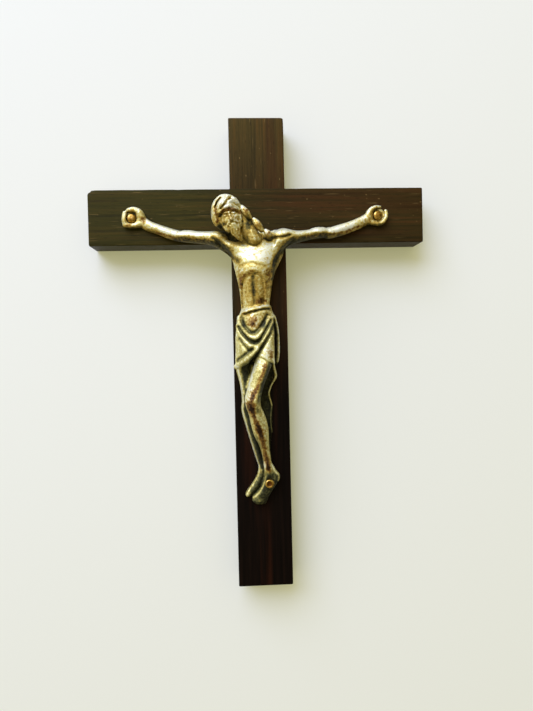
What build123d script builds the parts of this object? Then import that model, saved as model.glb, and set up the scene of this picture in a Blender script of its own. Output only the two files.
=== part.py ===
"""Small wall crucifix: two half-lapped dark wooden beams and a cast metal corpus held by three pins.

Millimetres. The origin is the middle of the crossing on the flat back, +Z runs up the upright and
the front faces -Y. Left and right are as seen from the front. A place on the corpus is given as
across, stand-off from the front of the wood, and up.
"""
import os
from math import cos, radians, sin

from build123d import *

# Wooden beams
upright_length = 120.0
crossbar_length = 85.5
beam_width = 14.0
beam_thickness = 8.0
crossing_below_top = 25.0
eased_edge = 0.3
lap_depth = beam_thickness / 2

# Blind hole drilled in the back for a wall pin
hanging_hole_radius = 2.0
hanging_hole_depth = 5.0
hanging_hole_height = 18.0

# Round-headed pins, and the spot faces that they sit on
pin_head_radius = 1.15
pin_head_rise = 0.7
pin_head_edge = 0.15
pin_head_steps = 2
pin_shank_radius = 0.6
pin_point_length = 1.6
pin_depth_in_wood = 5.0
spot_face_radius = 1.4
left_hand_pin = (-31.7, 1.0, -0.4)
right_hand_pin = (30.6, 1.0, -0.3)
feet_pin = (1.3, 3.3, -67.7)

# Open hands with curled fingers
palm_width = 4.0
palm_height = 4.6
palm_corner = 0.9
finger_thickness = 1.3

# Chest and arms
arm_root_left = (-3.0, 3.4, -9.0)
arm_root_right = (2.2, 3.4, -9.0)
left_shoulder = (-8.4, 3.4, -6.8)
left_elbow = (-19.8, 2.5, -5.2)
left_wrist = (-29.8, 1.0, -1.2)
right_shoulder = (7.4, 3.4, -6.7)
right_elbow = (18.0, 2.5, -4.8)
right_wrist = (28.6, 1.0, -0.9)
arm_root_width = 3.2
shoulder_width = 5.0
upper_arm_width = 3.1
elbow_width = 2.7
forearm_width = 2.6
wrist_width = 2.9

# Bowed head: the line from beard to crown leans left and forward
head_middle = (-7.5, 6.3, -0.6)
head_lean = 20.0
head_bow = 12.0
band_thickness = 1.5

# Legs, the right one bent across in front of the left one, with a thin web of metal between them
front_hip = (1.2, 3.2, -34.0)
front_knee = (-2.5, 4.0, -46.6)
front_ankle = (1.4, 1.9, -66.0)
back_hip = (-4.0, 1.2, -34.0)
back_knee = (-3.8, 1.0, -47.0)
back_ankle = (-0.4, 0.8, -64.2)
web_depth = 1.6
rim_thickness = 0.7

# Loincloth folds
roll_thickness = 1.7
fold_taper = 0.65

# Flats round the casting's sections: its body and limbs, and its thin rolls and fingers
limb_sides = 10
roll_sides = 6


def in_space(across, stand_off, up):
    """The point for a place on the corpus."""
    return Vector(across, -beam_thickness - stand_off, up)


def between(start, end, share):
    """The place part of the way from one place to another."""
    return tuple(a + (b - a) * share for a, b in zip(start, end))


def oval(width, depth, sides):
    """Corners of a faceted oval, from the middle of its back."""
    turns = [radians(360 * step / sides) for step in range(sides)]
    return [(width / 2 * sin(turn), -depth / 2 * cos(turn)) for turn in turns]


def limb(*stations, sides=limb_sides):
    """A solid through faceted oval sections square to the line of their centres.

    A station is a place, the section's width, and its depth from front to back.
    """
    centres = [in_space(*place) for place, _, _ in stations]
    last = len(centres) - 1
    with BuildPart() as solid:
        for index, (_, width, depth) in enumerate(stations):
            before = centres[max(index - 1, 0)]
            after = centres[min(index + 1, last)]
            along = (after - before).normalized()
            sideways = along.cross(Vector(0, 1, 0)).normalized()
            with BuildSketch(Plane(origin=centres[index], x_dir=sideways, z_dir=along)):
                with BuildLine():
                    Polyline(*oval(width, depth, sides), close=True)
                make_face()
        loft()
    return solid.part


def arm(root, shoulder, elbow, wrist):
    """An arm that tapers from inside the chest to the wrist, swelling below the elbow."""
    return limb(
        (root, arm_root_width, arm_root_width),
        (shoulder, shoulder_width, shoulder_width * 0.84),
        (between(shoulder, elbow, 0.3), upper_arm_width * 1.12, upper_arm_width * 1.12),
        (between(shoulder, elbow, 0.6), upper_arm_width * 0.92, upper_arm_width * 0.97),
        (elbow, elbow_width, elbow_width),
        (between(elbow, wrist, 0.3), forearm_width, forearm_width),
        (between(elbow, wrist, 0.65), wrist_width, wrist_width * 0.9),
        (wrist, wrist_width, wrist_width * 0.75),
    )


def roll(thickness, *places):
    """A roll of even thickness through places, tapered where its ends sink in."""
    stations = [(place, thickness, thickness) for place in places[1:-1]]
    tip = thickness * fold_taper
    return limb((places[0], tip, tip), *stations, (places[-1], tip, tip), sides=roll_sides)


def lock(top, end, width):
    """A spindle-shaped lock of hair."""
    tip = width / 2
    return limb((top, tip, tip), (between(top, end, 0.5), width, width), (end, tip, tip))


def on_head(sideways, height, forward):
    """A place given in the head's own leaning and bowed directions."""
    lean = radians(head_lean)
    bow = radians(head_bow)
    across, stand_off, up = head_middle
    return (
        across + sideways * cos(lean) - height * cos(bow) * sin(lean) + forward * sin(bow) * sin(lean),
        stand_off + height * sin(bow) + forward * cos(bow),
        up + sideways * sin(lean) + height * cos(bow) * cos(lean) - forward * sin(bow) * cos(lean),
    )


def hand(pin_place, outward):
    """A cupped palm lying on the wood, with curled fingers on its outer side and a thumb above.

    outward is -1 for the left hand and 1 for the right one.
    """
    across, thickness, up = pin_place
    outer = across + outward * (palm_width / 2 + 0.3)
    root = across - outward * (palm_width / 2 + 0.2)
    top = up + palm_height / 2
    with BuildPart() as palm:
        with BuildSketch(Plane.XZ.offset(beam_thickness)) as outline:
            with Locations((across, up)):
                Rectangle(palm_width, palm_height)
            chamfer(outline.vertices(), palm_corner)
        extrude(amount=thickness)
    fingers = limb(
        ((outer - outward * 0.9, 0.8, up - 2.1), finger_thickness * 0.7, finger_thickness * 0.7),
        ((outer, 1.2, up - 1.0), finger_thickness, finger_thickness * 1.3),
        ((outer, 1.2, up + 0.6), finger_thickness, finger_thickness * 1.3),
        ((outer - outward * 0.7, 0.8, up + 1.7), finger_thickness * 0.7, finger_thickness * 0.7),
        sides=roll_sides,
    )
    thumb = limb(
        ((root, 0.9, up - 0.2), finger_thickness, finger_thickness),
        ((root + outward * 1.2, 1.1, top - 0.5), finger_thickness, finger_thickness * 1.2),
        ((outer - outward * 1.4, 1.0, top), finger_thickness * 0.7, finger_thickness * 0.8),
        sides=roll_sides,
    )
    return palm.part + fingers + thumb


def pin(place):
    """A round-headed pin: hammered dome on the casting, straight shank and tapered point in the wood."""
    seat = in_space(*place)
    length = place[1] + pin_depth_in_wood
    turns = [radians(90 * step / pin_head_steps) for step in range(pin_head_steps)]
    crown_rise = pin_head_rise - pin_head_edge
    dome = [(pin_head_radius * cos(turn), pin_head_edge + crown_rise * sin(turn)) for turn in turns]
    with BuildPart() as solid:
        with BuildSketch(Plane(origin=seat, x_dir=(1, 0, 0), z_dir=(0, 0, -1))):
            with BuildLine():
                Polyline(
                    (0, pin_head_rise),
                    (0, -length),
                    (pin_shank_radius, pin_point_length - length),
                    (pin_shank_radius, 0),
                    (pin_head_radius, 0),
                    *dome,
                    close=True,
                )
            make_face()
        revolve(axis=Axis(seat, (0, -1, 0)))
    return solid.part


left_hand_nail = pin(left_hand_pin)
left_hand_nail.label = "left_hand_nail"
right_hand_nail = pin(right_hand_pin)
right_hand_nail.label = "right_hand_nail"
feet_nail = pin(feet_pin)
feet_nail.label = "feet_nail"

# Upright: the long beam, notched in front where the crossbar lies
with BuildPart() as upright:
    with BuildSketch(Plane.XZ):
        with Locations((0, crossing_below_top - upright_length / 2)):
            Rectangle(beam_width, upright_length)
    extrude(amount=beam_thickness)
    fillet(upright.faces().sort_by(Axis.Y)[0].edges(), eased_edge)
    with BuildSketch(Plane.XZ.offset(lap_depth)):
        Rectangle(beam_width, beam_width)
    extrude(amount=lap_depth, mode=Mode.SUBTRACT)
    with Locations(Plane(origin=(0, 0, hanging_hole_height), z_dir=(0, 1, 0))):
        Hole(hanging_hole_radius, hanging_hole_depth)
    add(feet_nail, mode=Mode.SUBTRACT)
upright.part.label = "upright"

# Crossbar: runs through in front, notched behind for the upright
with BuildPart() as crossbar:
    with BuildSketch(Plane.XZ):
        Rectangle(crossbar_length, beam_width)
    extrude(amount=beam_thickness)
    fillet(crossbar.edges().filter_by(Axis.Z).group_by(Axis.Y)[0], eased_edge)
    with BuildSketch(Plane.XZ):
        Rectangle(beam_width, beam_width)
    extrude(amount=lap_depth, mode=Mode.SUBTRACT)
    add(left_hand_nail, mode=Mode.SUBTRACT)
    add(right_hand_nail, mode=Mode.SUBTRACT)
crossbar.part.label = "crossbar"

# Trunk, from the hips under the cloth to the collar
trunk = limb(
    ((-1.0, 3.0, -27.0), 7.8, 6.0),
    ((-1.1, 3.0, -22.6), 7.2, 5.4),
    ((-0.9, 3.4, -17.0), 8.4, 6.4),
    ((-0.7, 3.6, -13.5), 10.4, 6.8),
    ((-0.4, 3.6, -10.5), 13.4, 6.4),
    ((-0.4, 3.4, -7.6), 14.0, 4.8),
    ((-0.6, 3.0, -5.0), 9.0, 3.4),
)
left_arm = arm(arm_root_left, left_shoulder, left_elbow, left_wrist)
right_arm = arm(arm_root_right, right_shoulder, right_elbow, right_wrist)
left_hand = hand(left_hand_pin, -1)
right_hand = hand(right_hand_pin, 1)

# Head on a stout neck, with nose, beard, thick bands of hair wound round the crown, and locks
neck = limb(
    ((-4.8, 5.7, -1.2), 3.6, 3.6),
    ((-2.7, 5.8, -4.7), 3.9, 3.9),
    ((-1.3, 5.3, -7.4), 3.8, 3.6),
    ((-0.7, 4.2, -9.2), 2.6, 2.6),
)
skull = limb(
    (on_head(0, -4.0, 0.6), 2.6, 2.6),
    (on_head(0, -2.4, 0.3), 4.6, 4.8),
    (on_head(0, 0, 0), 5.7, 5.8),
    (on_head(0, 2.2, -0.3), 6.0, 6.0),
    (on_head(0, 3.8, -0.4), 4.6, 4.6),
    (on_head(0, 4.6, -0.4), 2.4, 2.4),
)
beard = limb(
    (on_head(0, -2.0, 1.4), 3.6, 2.4),
    (on_head(0, -4.4, 1.6), 2.8, 2.4),
    (on_head(0, -6.2, 1.2), 1.0, 1.0),
)
nose = limb(
    (on_head(0, 0.4, 2.5), 0.6, 0.8),
    (on_head(0, -0.8, 2.9), 0.8, 1.0),
    (on_head(0, -1.7, 2.8), 1.0, 0.9),
)
side_band = roll(
    band_thickness,
    (-7.6, 7.0, 3.0), (-9.6, 6.8, 2.4), (-10.7, 6.4, 0.4), (-10.8, 6.2, -1.8), (-10.0, 6.0, -3.6),
)
slant_band = roll(
    band_thickness,
    (-6.8, 7.2, 3.0), (-8.0, 8.4, 2.1), (-9.1, 8.4, 0.7), (-9.9, 7.6, -0.7), (-10.2, 6.4, -1.9),
)
right_band = roll(band_thickness, (-7.9, 8.2, 2.0), (-6.5, 8.4, 1.9), (-5.4, 7.8, 1.4), (-4.6, 6.4, 0.5))
brow_band = roll(
    band_thickness,
    (-9.8, 7.2, -0.9), (-8.7, 8.6, -0.1), (-7.2, 9.0, 0.4), (-5.7, 8.4, 0.3), (-4.7, 7.0, 0.0),
)
upper_lock = lock((-5.0, 6.6, 1.3), (-2.1, 6.2, -2.2), 1.9)
middle_lock = lock((-1.6, 6.2, -1.9), (1.0, 5.6, -5.3), 1.9)
lower_lock = lock((1.0, 5.4, -4.6), (3.1, 4.6, -6.8), 1.7)

# Loincloth: wrapped body, rolled waistband, swags over the lap and ends hanging on the right
cloth_body = limb(
    ((-0.9, 3.0, -23.6), 6.4, 4.6),
    ((-0.9, 3.2, -26.0), 9.6, 6.8),
    ((-0.9, 3.3, -29.0), 10.8, 7.2),
    ((-1.0, 3.4, -33.0), 11.2, 7.4),
    ((-1.4, 3.2, -37.0), 10.4, 6.6),
)
waistband = roll(
    roll_thickness,
    (-4.6, 2.4, -25.6), (-4.4, 4.6, -25.2), (-2.6, 6.0, -24.9),
    (0.2, 6.2, -24.1), (2.4, 5.0, -23.5), (2.8, 2.6, -24.0),
)
upper_swag = roll(
    roll_thickness,
    (-4.4, 4.4, -26.0), (-4.6, 6.0, -28.2), (-2.8, 7.0, -31.0),
    (-0.6, 7.2, -31.4), (1.2, 6.6, -29.2), (2.6, 4.6, -26.2),
)
lower_swag = roll(
    roll_thickness,
    (-5.0, 4.0, -28.4), (-5.2, 5.2, -30.2), (-3.6, 6.4, -32.6), (-1.6, 6.8, -33.2),
)
hem_roll = roll(
    roll_thickness,
    (-5.6, 2.2, -38.4), (-5.4, 4.6, -38.0), (-3.2, 6.2, -37.0), (-0.8, 7.0, -34.6),
    (1.2, 6.9, -31.6), (3.0, 5.6, -28.2), (3.4, 3.6, -26.0),
)
long_end = limb(
    ((2.6, 2.2, -27.0), 1.2, 1.6),
    ((3.7, 1.9, -32.0), 2.2, 2.8),
    ((3.5, 1.7, -38.0), 2.2, 2.4),
    ((3.2, 1.5, -42.0), 1.2, 1.6),
)
short_end = limb(
    ((3.6, 1.4, -28.0), 0.8, 1.2),
    ((4.3, 1.3, -33.0), 1.2, 1.9),
    ((4.2, 1.2, -37.8), 0.8, 1.2),
)

# Legs and feet
front_leg = limb(
    (front_hip, 3.6, 6.8),
    (between(front_hip, front_knee, 0.4), 4.2, 7.5),
    (between(front_hip, front_knee, 0.75), 3.9, 7.9),
    (front_knee, 3.8, 8.0),
    (between(front_knee, front_ankle, 0.3), 4.1, 6.5),
    (between(front_knee, front_ankle, 0.58), 2.7, 5.2),
    (between(front_knee, front_ankle, 0.8), 2.0, 4.5),
    (front_ankle, 1.8, 3.4),
)
back_leg = limb(
    (back_hip, 3.6, 3.0),
    (between(back_hip, back_knee, 0.4), 3.7, 2.7),
    (back_knee, 3.1, 2.2),
    (between(back_knee, back_ankle, 0.33), 3.0, 2.0),
    (between(back_knee, back_ankle, 0.7), 2.2, 1.8),
    (back_ankle, 1.8, 1.7),
)
web = limb(
    ((-1.0, 0, -34.0), 8.0, web_depth),
    ((-1.0, 0, -41.0), 7.8, web_depth),
    ((-1.3, 0, -45.0), 6.4, web_depth),
    ((-0.9, 0, -50.0), 6.8, web_depth),
    ((-0.3, 0, -55.0), 5.2, web_depth),
    ((0.3, 0, -60.0), 3.2, web_depth),
    ((0.5, 0, -64.0), 2.8, web_depth),
)
rim = roll(
    rim_thickness,
    (3.0, 0.9, -41.0), (2.2, 0.8, -43.4), (1.8, 0.8, -45.2), (2.4, 0.8, -48.2),
    (2.1, 0.8, -52.0), (2.2, 0.6, -54.0), (1.8, 0.4, -56.0),
)
front_foot = limb(
    ((1.0, 1.6, -62.6), 1.2, 2.4),
    ((1.8, 1.7, -66.0), 3.7, 4.3),
    ((1.0, 1.7, -69.0), 3.8, 4.1),
    ((-0.6, 1.2, -71.6), 3.9, 2.7),
    ((-0.9, 0.8, -73.3), 2.6, 1.8),
)
front_heel = limb(
    ((1.1, 1.4, -62.6), 1.0, 2.0),
    ((2.6, 1.3, -65.3), 2.4, 2.7),
    ((3.4, 1.1, -66.9), 1.4, 1.8),
)
back_foot = limb(
    ((-0.3, 0.6, -63.2), 1.6, 1.9),
    ((-0.9, 0.6, -66.4), 2.2, 2.0),
    ((-2.2, 0.5, -68.8), 2.5, 2.0),
    ((-3.5, 0.5, -70.6), 2.2, 1.7),
    ((-4.1, 0.5, -71.5), 1.4, 1.2),
)

# Scooped-out back of the casting, under the chest and the cloth
back_scoop = limb(
    ((-0.6, 0.4, -9.5), 4.0, 2.4),
    ((-0.8, 0.6, -14.0), 5.2, 5.2),
    ((-1.0, 0.6, -22.0), 4.2, 4.6),
    ((-0.9, 0.6, -28.0), 5.6, 6.0),
    ((-1.0, 0.5, -34.0), 4.0, 3.6),
)

# Corpus: one casting, flat and scooped out behind, lying on the wood at the hands, legs and feet
with BuildPart() as corpus:
    for piece in (
        trunk, left_arm, right_arm, left_hand, right_hand,
        neck, skull, beard, nose, side_band, slant_band, right_band, brow_band,
        upper_lock, middle_lock, lower_lock,
        cloth_body, waistband, upper_swag, lower_swag, hem_roll, long_end, short_end,
        front_leg, back_leg, web, rim, front_foot, front_heel, back_foot,
    ):
        add(piece)
    add(back_scoop, mode=Mode.SUBTRACT)
    split(bisect_by=Plane.XZ.offset(beam_thickness))
    for place in (left_hand_pin, right_hand_pin, feet_pin):
        with BuildSketch(Plane.XZ.offset(beam_thickness)):
            with Locations((place[0], place[2])):
                Circle(pin_shank_radius)
        extrude(amount=place[1], mode=Mode.SUBTRACT)
        with BuildSketch(Plane.XZ.offset(beam_thickness + place[1])):
            with Locations((place[0], place[2])):
                Circle(spot_face_radius)
        extrude(amount=beam_thickness, mode=Mode.SUBTRACT)
corpus.part.label = "corpus"

os.makedirs("parts", exist_ok=True)
for piece in (upright.part, crossbar.part, corpus.part, left_hand_nail, right_hand_nail, feet_nail):
    export_step(piece, f"parts/{piece.label}.step")
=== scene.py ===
from functools import partial
import bpy
import numpy as np
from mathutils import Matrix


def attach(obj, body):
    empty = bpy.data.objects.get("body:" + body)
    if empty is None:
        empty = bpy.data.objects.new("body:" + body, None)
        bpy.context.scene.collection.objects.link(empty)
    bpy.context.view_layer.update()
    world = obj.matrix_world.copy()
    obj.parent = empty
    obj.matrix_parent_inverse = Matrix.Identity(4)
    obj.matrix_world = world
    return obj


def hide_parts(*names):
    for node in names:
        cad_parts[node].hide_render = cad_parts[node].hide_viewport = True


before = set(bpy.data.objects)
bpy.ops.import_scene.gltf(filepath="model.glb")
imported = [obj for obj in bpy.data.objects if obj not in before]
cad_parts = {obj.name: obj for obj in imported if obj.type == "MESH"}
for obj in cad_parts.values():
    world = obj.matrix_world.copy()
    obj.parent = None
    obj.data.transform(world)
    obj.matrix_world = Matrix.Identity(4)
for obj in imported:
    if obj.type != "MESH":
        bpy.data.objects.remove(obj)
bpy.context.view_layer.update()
import openvdb
from mathutils import Matrix, Vector

scene = bpy.context.scene
scene.view_settings.view_transform = "Standard"
print("frame loaded")

# All sizes below are in mm, in the part's own frame: x to the right, y into the wall, z up.
# A place on the casting is x, stand-off from the front of the wood, z.
woodFront = 8.0
mm = 0.001


def linear(hexColour):
    # sRGB hex to linear light: a straight piece near black, then a 2.4 power
    c = np.array([int(hexColour[i:i + 2], 16) for i in (1, 3, 5)]) / 255
    return (*np.where(c <= 0.04045, c / 12.92, ((c + 0.055) / 1.055) ** 2.4).tolist(), 1.0)


def addNode(tree, kind, inputs=None, ramp=None, **settings):
    # one node: its settings, its ramp of (place, hex) stops, then values or links into its sockets.
    # A node given as a value is linked from the first of its outputs that is in use
    node = tree.nodes.new("ShaderNode" + kind)
    for key, value in settings.items():
        setattr(node, key, value)
    if ramp:
        stops = node.color_ramp.elements
        stops[0].position, stops[0].color = ramp[0][0], linear(ramp[0][1])
        stops[1].position, stops[1].color = ramp[-1][0], linear(ramp[-1][1])
        for place, colour in ramp[1:-1]:
            stops.new(place).color = linear(colour)
    for key, value in (inputs or {}).items():
        if isinstance(value, bpy.types.Node):
            value = next(socket for socket in value.outputs if socket.enabled)
        if isinstance(value, bpy.types.NodeSocket):
            tree.links.new(value, node.inputs[key])
        else:
            node.inputs[key].default_value = value
    return node


def newMaterial(name):
    # the material, and addNode for its own tree
    material = bpy.data.materials.new(name)
    material.use_nodes = True
    material.node_tree.nodes.clear()
    return material, partial(addNode, material.node_tree)


def newObject(name, data):
    thing = bpy.data.objects.new(name, data)
    scene.collection.objects.link(thing)
    return thing


def newPiece(name, points, faces, material, node, sharpAbove):
    # points in mm in the part's frame, faces as rows of corner numbers
    mesh = bpy.data.meshes.new(name)
    mesh.from_pydata((np.asarray(points) / 1000).tolist(), [], faces)
    mesh.update()
    mesh.shade_smooth()
    mesh.set_sharp_from_angle(angle=np.radians(sharpAbove))
    mesh.materials.append(material)
    piece = newObject(name, mesh)
    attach(piece, "root")
    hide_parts(node)
    return piece


def pointValues(piece, name, values):
    # one number for each point, which the piece's material reads
    piece.data.attributes.new(name, "FLOAT", "POINT").data.foreach_set("value", values.astype(np.float32))


def outward(points, faces):
    # turns all faces over if the quads together enclose a negative volume
    quads = points[np.array([face for face in faces if len(face) == 4])]
    across = np.cross(quads[:, 2] - quads[:, 0], quads[:, 3] - quads[:, 1])
    volume = np.einsum("ij,ij->", across, quads.mean(1) - points.mean(0))
    return faces if volume > 0 else [face[::-1] for face in faces]


def closedTube(rings):
    # quads between neighbouring rings of a closed profile, and a flat face at each end
    count, around = rings.shape[:2]
    i, j = np.meshgrid(np.arange(count - 1), np.arange(around), indexing="ij")
    k = (j + 1) % around
    corners = [i * around + j, i * around + k, (i + 1) * around + k, (i + 1) * around + j]
    faces = np.stack(corners, -1).reshape(-1, 4).tolist()
    faces.append(list(range(around))[::-1])
    faces.append(list(range((count - 1) * around, count * around)))
    points = rings.reshape(-1, 3)
    return points, outward(points, faces)


def through(rows, at):
    # cubic curve through rows of (parameter, values...), with slopes taken from the neighbouring rows
    rows = np.array(sorted(rows), float)
    t, v = rows[:, 0], rows[:, 1:]
    slope = np.gradient(v, t, axis=0)
    i = np.clip(np.searchsorted(t, at) - 1, 0, len(t) - 2)
    width = (t[i + 1] - t[i])[:, None]
    s = np.clip((np.asarray(at) - t[i])[:, None] / width, 0, 1)
    return ((2 * s ** 3 - 3 * s ** 2 + 1) * v[i] + (s ** 3 - 2 * s ** 2 + s) * width * slope[i]
            + (3 * s ** 2 - 2 * s ** 3) * v[i + 1] + (s ** 3 - s ** 2) * width * slope[i + 1]).T


# Camera: a phone held square to the cross, found from the corners of the two beams
camera = {"place": (-5.9, -151.5, -32.8), "turnDegrees": (1.06, -1.33, 2.93), "lens": 28.385, "sensor": 36.0,
          "nearest": 10.0}
turn = Vector(np.radians(camera["turnDegrees"]))
view = Matrix.Rotation(turn.length, 3, turn.normalized()).transposed()
eye = newObject("camera", bpy.data.cameras.new("camera"))
eye.data.lens = camera["lens"]
eye.data.sensor_width = camera["sensor"]
eye.data.clip_start = camera["nearest"] * mm
facing = Matrix((view.col[0], view.col[2], -view.col[1])).transposed()
eye.matrix_world = Matrix.Translation(Vector(camera["place"]) / 1000) @ facing.to_4x4()
scene.camera = eye

# Light: one large soft box above on the left, one behind the wall for the back, and a pale room that is
# darker below on the right
lights = {
    "keyBox": {"place": (-280, -480, 480), "aim": (0, 0, -20), "size": 600, "watts": 7.75, "colour": "#c6d0ff"},
    "backBox": {"place": (0, 900, 200), "aim": (0, 0, -30), "size": 700, "watts": 14.0, "colour": "#ffffff"}}
room = {"brightFrom": (-0.5, -0.62, 0.6),
        "tones": [(0.1, "#15130c"), (0.3, "#3a3526"), (0.5, "#8a8368"), (0.68, "#b9b28f"), (0.85, "#d2cba8"),
                  (1.0, "#f6f2de")]}
for name, own in lights.items():
    lamp = bpy.data.lights.new(name, "AREA")
    lamp.shape = "SQUARE"
    lamp.size = own["size"] / 1000
    lamp.energy = own["watts"]
    lamp.color = linear(own["colour"])[:3]
    towards = Vector(own["aim"]) - Vector(own["place"])
    turned = towards.to_track_quat("-Z", "Y").to_matrix().to_4x4()
    newObject(name, lamp).matrix_world = Matrix.Translation(Vector(own["place"]) / 1000) @ turned

scene.world = bpy.data.worlds.new("room")
scene.world.use_nodes = True
scene.world.node_tree.nodes.clear()
add = partial(addNode, scene.world.node_tree)
way = add("TexCoord").outputs["Generated"]
along = add("VectorMath", {0: way, 1: Vector(room["brightFrom"]).normalized()}, operation="DOT_PRODUCT")
share = add("MapRange", {"Value": along, "From Min": -1.0, "From Max": 1.0})
tone = add("ValToRGB", {"Fac": share}, ramp=room["tones"])
add("OutputWorld", {"Surface": add("Background", {"Color": tone, "Strength": 1.0})})

# Pale wall just behind the back of the cross, seen only from its front side
wall = {"gap": 0.3, "reach": 2500.0, "colour": "#f4f4f0", "glow": "#eff0ae", "glowShare": 0.25}
material, add = newMaterial("paleWall")
rays = add("LightPath").outputs
behind = add("NewGeometry").outputs["Backfacing"]
seeThrough = add("Math", {0: behind, 1: rays["Is Shadow Ray"]}, operation="MAXIMUM")
matt = add("BsdfDiffuse", {"Color": linear(wall["colour"])})
glow = add("Emission", {"Color": linear(wall["glow"]), "Strength": 1.0})
seen = add("Math", {0: rays["Is Camera Ray"], 1: rays["Is Glossy Ray"]}, operation="MAXIMUM")
seenShare = add("Math", {0: seen, 1: wall["glowShare"]}, operation="MULTIPLY")
pale = add("MixShader", {0: seenShare, 1: matt, 2: glow})
either = add("MixShader", {0: seeThrough, 1: pale, 2: add("BsdfTransparent")})
add("OutputMaterial", {"Surface": either})
mesh = bpy.data.meshes.new("wall")
r, y = wall["reach"] / 1000, wall["gap"] / 1000
mesh.from_pydata([(-r, y, -r), (r, y, -r), (r, y, r), (-r, y, r)], [], [(0, 1, 2, 3)])
mesh.materials.append(material)
backdrop = newObject("wall", mesh)
print("camera, light and wall set")

# Dark wood of the rosewood kind, sawn and oiled: close straight grain, fine open pores, a low sheen.
# The eye gets red and olive streaks on dark brown, with pale specks and scratches. Its paling towards the
# top and its near black low on the upright are painted sheen, standing in for the bright room reflected in the oiled
# wood.
# A pattern: its size across and along the grain, its detail and its roughness
wood = {
    "patterns": {"streak": (0.7, 22.0, 5.0, 0.62), "band": (3.2, 70.0, 2.0, 0.5), "pore": (0.16, 2.2, 1.0, 0.5),
                 "speck": (0.5, 1.1, 0.0, 0.5), "scratch": (0.2, 5.5, 0.0, 0.5)},
    "redShare": {"From Min": 0.52, "From Max": 0.72},
    "poreShare": {"From Min": 0.63, "From Max": 0.78, "To Max": 0.8},
    "speckShare": {"From Min": 0.8, "From Max": 0.83, "To Max": 0.5},
    "scratchShare": {"From Min": 0.75, "From Max": 0.82, "To Max": 0.5},
    "sheen": {"To Min": 0.38, "To Max": 0.62}, "specular": 0.06, "bump": {"Strength": 0.35, "Distance": 0.08 * mm},
    # painted sheen: between these heights the colour goes from the near-black low tones to the paler upper ones
    "paintedSheenFade": {"From Min": -52.0 * mm, "From Max": 6.0 * mm},
    "redBand": "#46210e", "speck": "#8a7040", "pore": "#0a0604",
    "low": [(0.28, "#060301"), (0.5, "#0d0603"), (0.72, "#170c05")],
    "upright": {"grain": 2, "red": 0.36, "tipSpan": {"From Min": 6.0 * mm, "From Max": 24.0 * mm},
                "tones": [(0.26, "#28200b"), (0.5, "#3d2f12"), (0.74, "#4f3415")],
                "tip": [(0.26, "#362d10"), (0.5, "#4d3f19"), (0.74, "#60451a")]},
    "crossbar": {"grain": 0, "red": 0.35, "tipSpan": {"From Min": 8.0 * mm, "From Max": -18.0 * mm},
                 "tones": [(0.26, "#251e08"), (0.5, "#382c0f"), (0.74, "#493012")],
                 "tip": [(0.26, "#28250a"), (0.5, "#3b3610"), (0.74, "#4a3d15")]}}


def darkWood(name, kind):
    # the streaks run along the grain, axis 0 for x or 2 for z, and the tones change towards the beam's tip
    material, add = newMaterial(name)
    place = add("TexCoord").outputs["Object"]
    height = add("SeparateXYZ", {"Vector": place}).outputs

    def pattern(wide, long, detail, roughness):
        scale = [1000 / wide] * 3
        scale[kind["grain"]] = 1000 / long
        stretched = add("Mapping", {"Vector": place, "Scale": scale})
        return add("TexNoise", {"Vector": stretched, "Scale": 1.0, "Detail": detail, "Roughness": roughness})

    streak, band, pore, speck, scratch = [pattern(*row) for row in wood["patterns"].values()]
    ramps = wood["low"], kind["tones"], kind["tip"]
    low, inner, outer = [add("ValToRGB", {"Fac": streak}, ramp=tones) for tones in ramps]
    tip = add("MapRange", {"Value": height[kind["grain"]], **kind["tipSpan"]})
    high = add("Mix", {0: tip, 6: inner, 7: outer}, data_type="RGBA")
    # painted sheen: the wood pales from low on the upright towards the top, as if reflecting the bright room above
    paintedSheenFade = add("MapRange", {"Value": height["Z"], **wood["paintedSheenFade"]}, interpolation_type="SMOOTHSTEP")
    brown = add("Mix", {0: paintedSheenFade, 6: low, 7: high}, data_type="RGBA")
    redness = add("MapRange", {"Value": band, **wood["redShare"], "To Max": kind["red"]})
    reddened = add("Mix", {0: redness, 6: brown, 7: linear(wood["redBand"])}, data_type="RGBA")
    pores = add("MapRange", {"Value": pore, **wood["poreShare"]})
    pored = add("Mix", {0: pores, 6: reddened, 7: linear(wood["pore"])}, data_type="RGBA")
    specks = add("MapRange", {"Value": speck, **wood["speckShare"]})
    scratches = add("MapRange", {"Value": scratch, **wood["scratchShare"]})
    marks = add("Math", {0: specks, 1: scratches}, operation="MAXIMUM")
    marksHigh = add("Math", {0: marks, 1: paintedSheenFade}, operation="MULTIPLY")
    colour = add("Mix", {0: marksHigh, 6: pored, 7: linear(wood["speck"])}, data_type="RGBA")
    relief = add("Math", {0: streak, 1: pore}, operation="ADD")
    surface = add("BsdfPrincipled", {
        "Base Color": colour, "Roughness": add("MapRange", {"Value": streak, **wood["sheen"]}),
        "Specular IOR Level": wood["specular"], "Normal": add("Bump", {"Height": relief, **wood["bump"]})})
    add("OutputMaterial", {"Surface": surface})
    return material


# Beams: a rounded rectangle carried along each beam. Each corner's radius changes a little along the
# way as wear, and a chip is a short place where it grows: its place, corner, size and reach. A knock is a
# bevel at the low end's upper corner: how far it reaches down and along.
beams = {
    "halfWidth": 7.0, "edge": 0.22, "wear": 0.16, "wearLimits": (-0.6, 1.6), "wearSpan": 13, "leastEdge": 0.1,
    "lapEdge": 0.03, "lapDepth": 4.0, "endRound": 0.3, "backRound": 0.3, "step": 0.8, "lapStep": 0.3,
    "ease": (0.0, 0.03, 0.1, 0.2, 0.35), "cornerSteps": 5, "flatSteps": 12,
    "upright": {"low": -95.0, "high": 25.0, "lapInFront": True, "seed": 11,
                "chips": [(24.6, 0, 0.5, 0.9), (-60, 1, 0.25, 1.2)], "knock": None},
    "crossbar": {"low": -42.75, "high": 42.75, "lapInFront": False, "seed": 12,
                 "chips": [(-42.4, 0, 0.7, 1.0), (-20, 0, 0.22, 0.8), (28, 1, 0.2, 1.5)], "knock": (1.15, 0.95)}}


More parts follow.
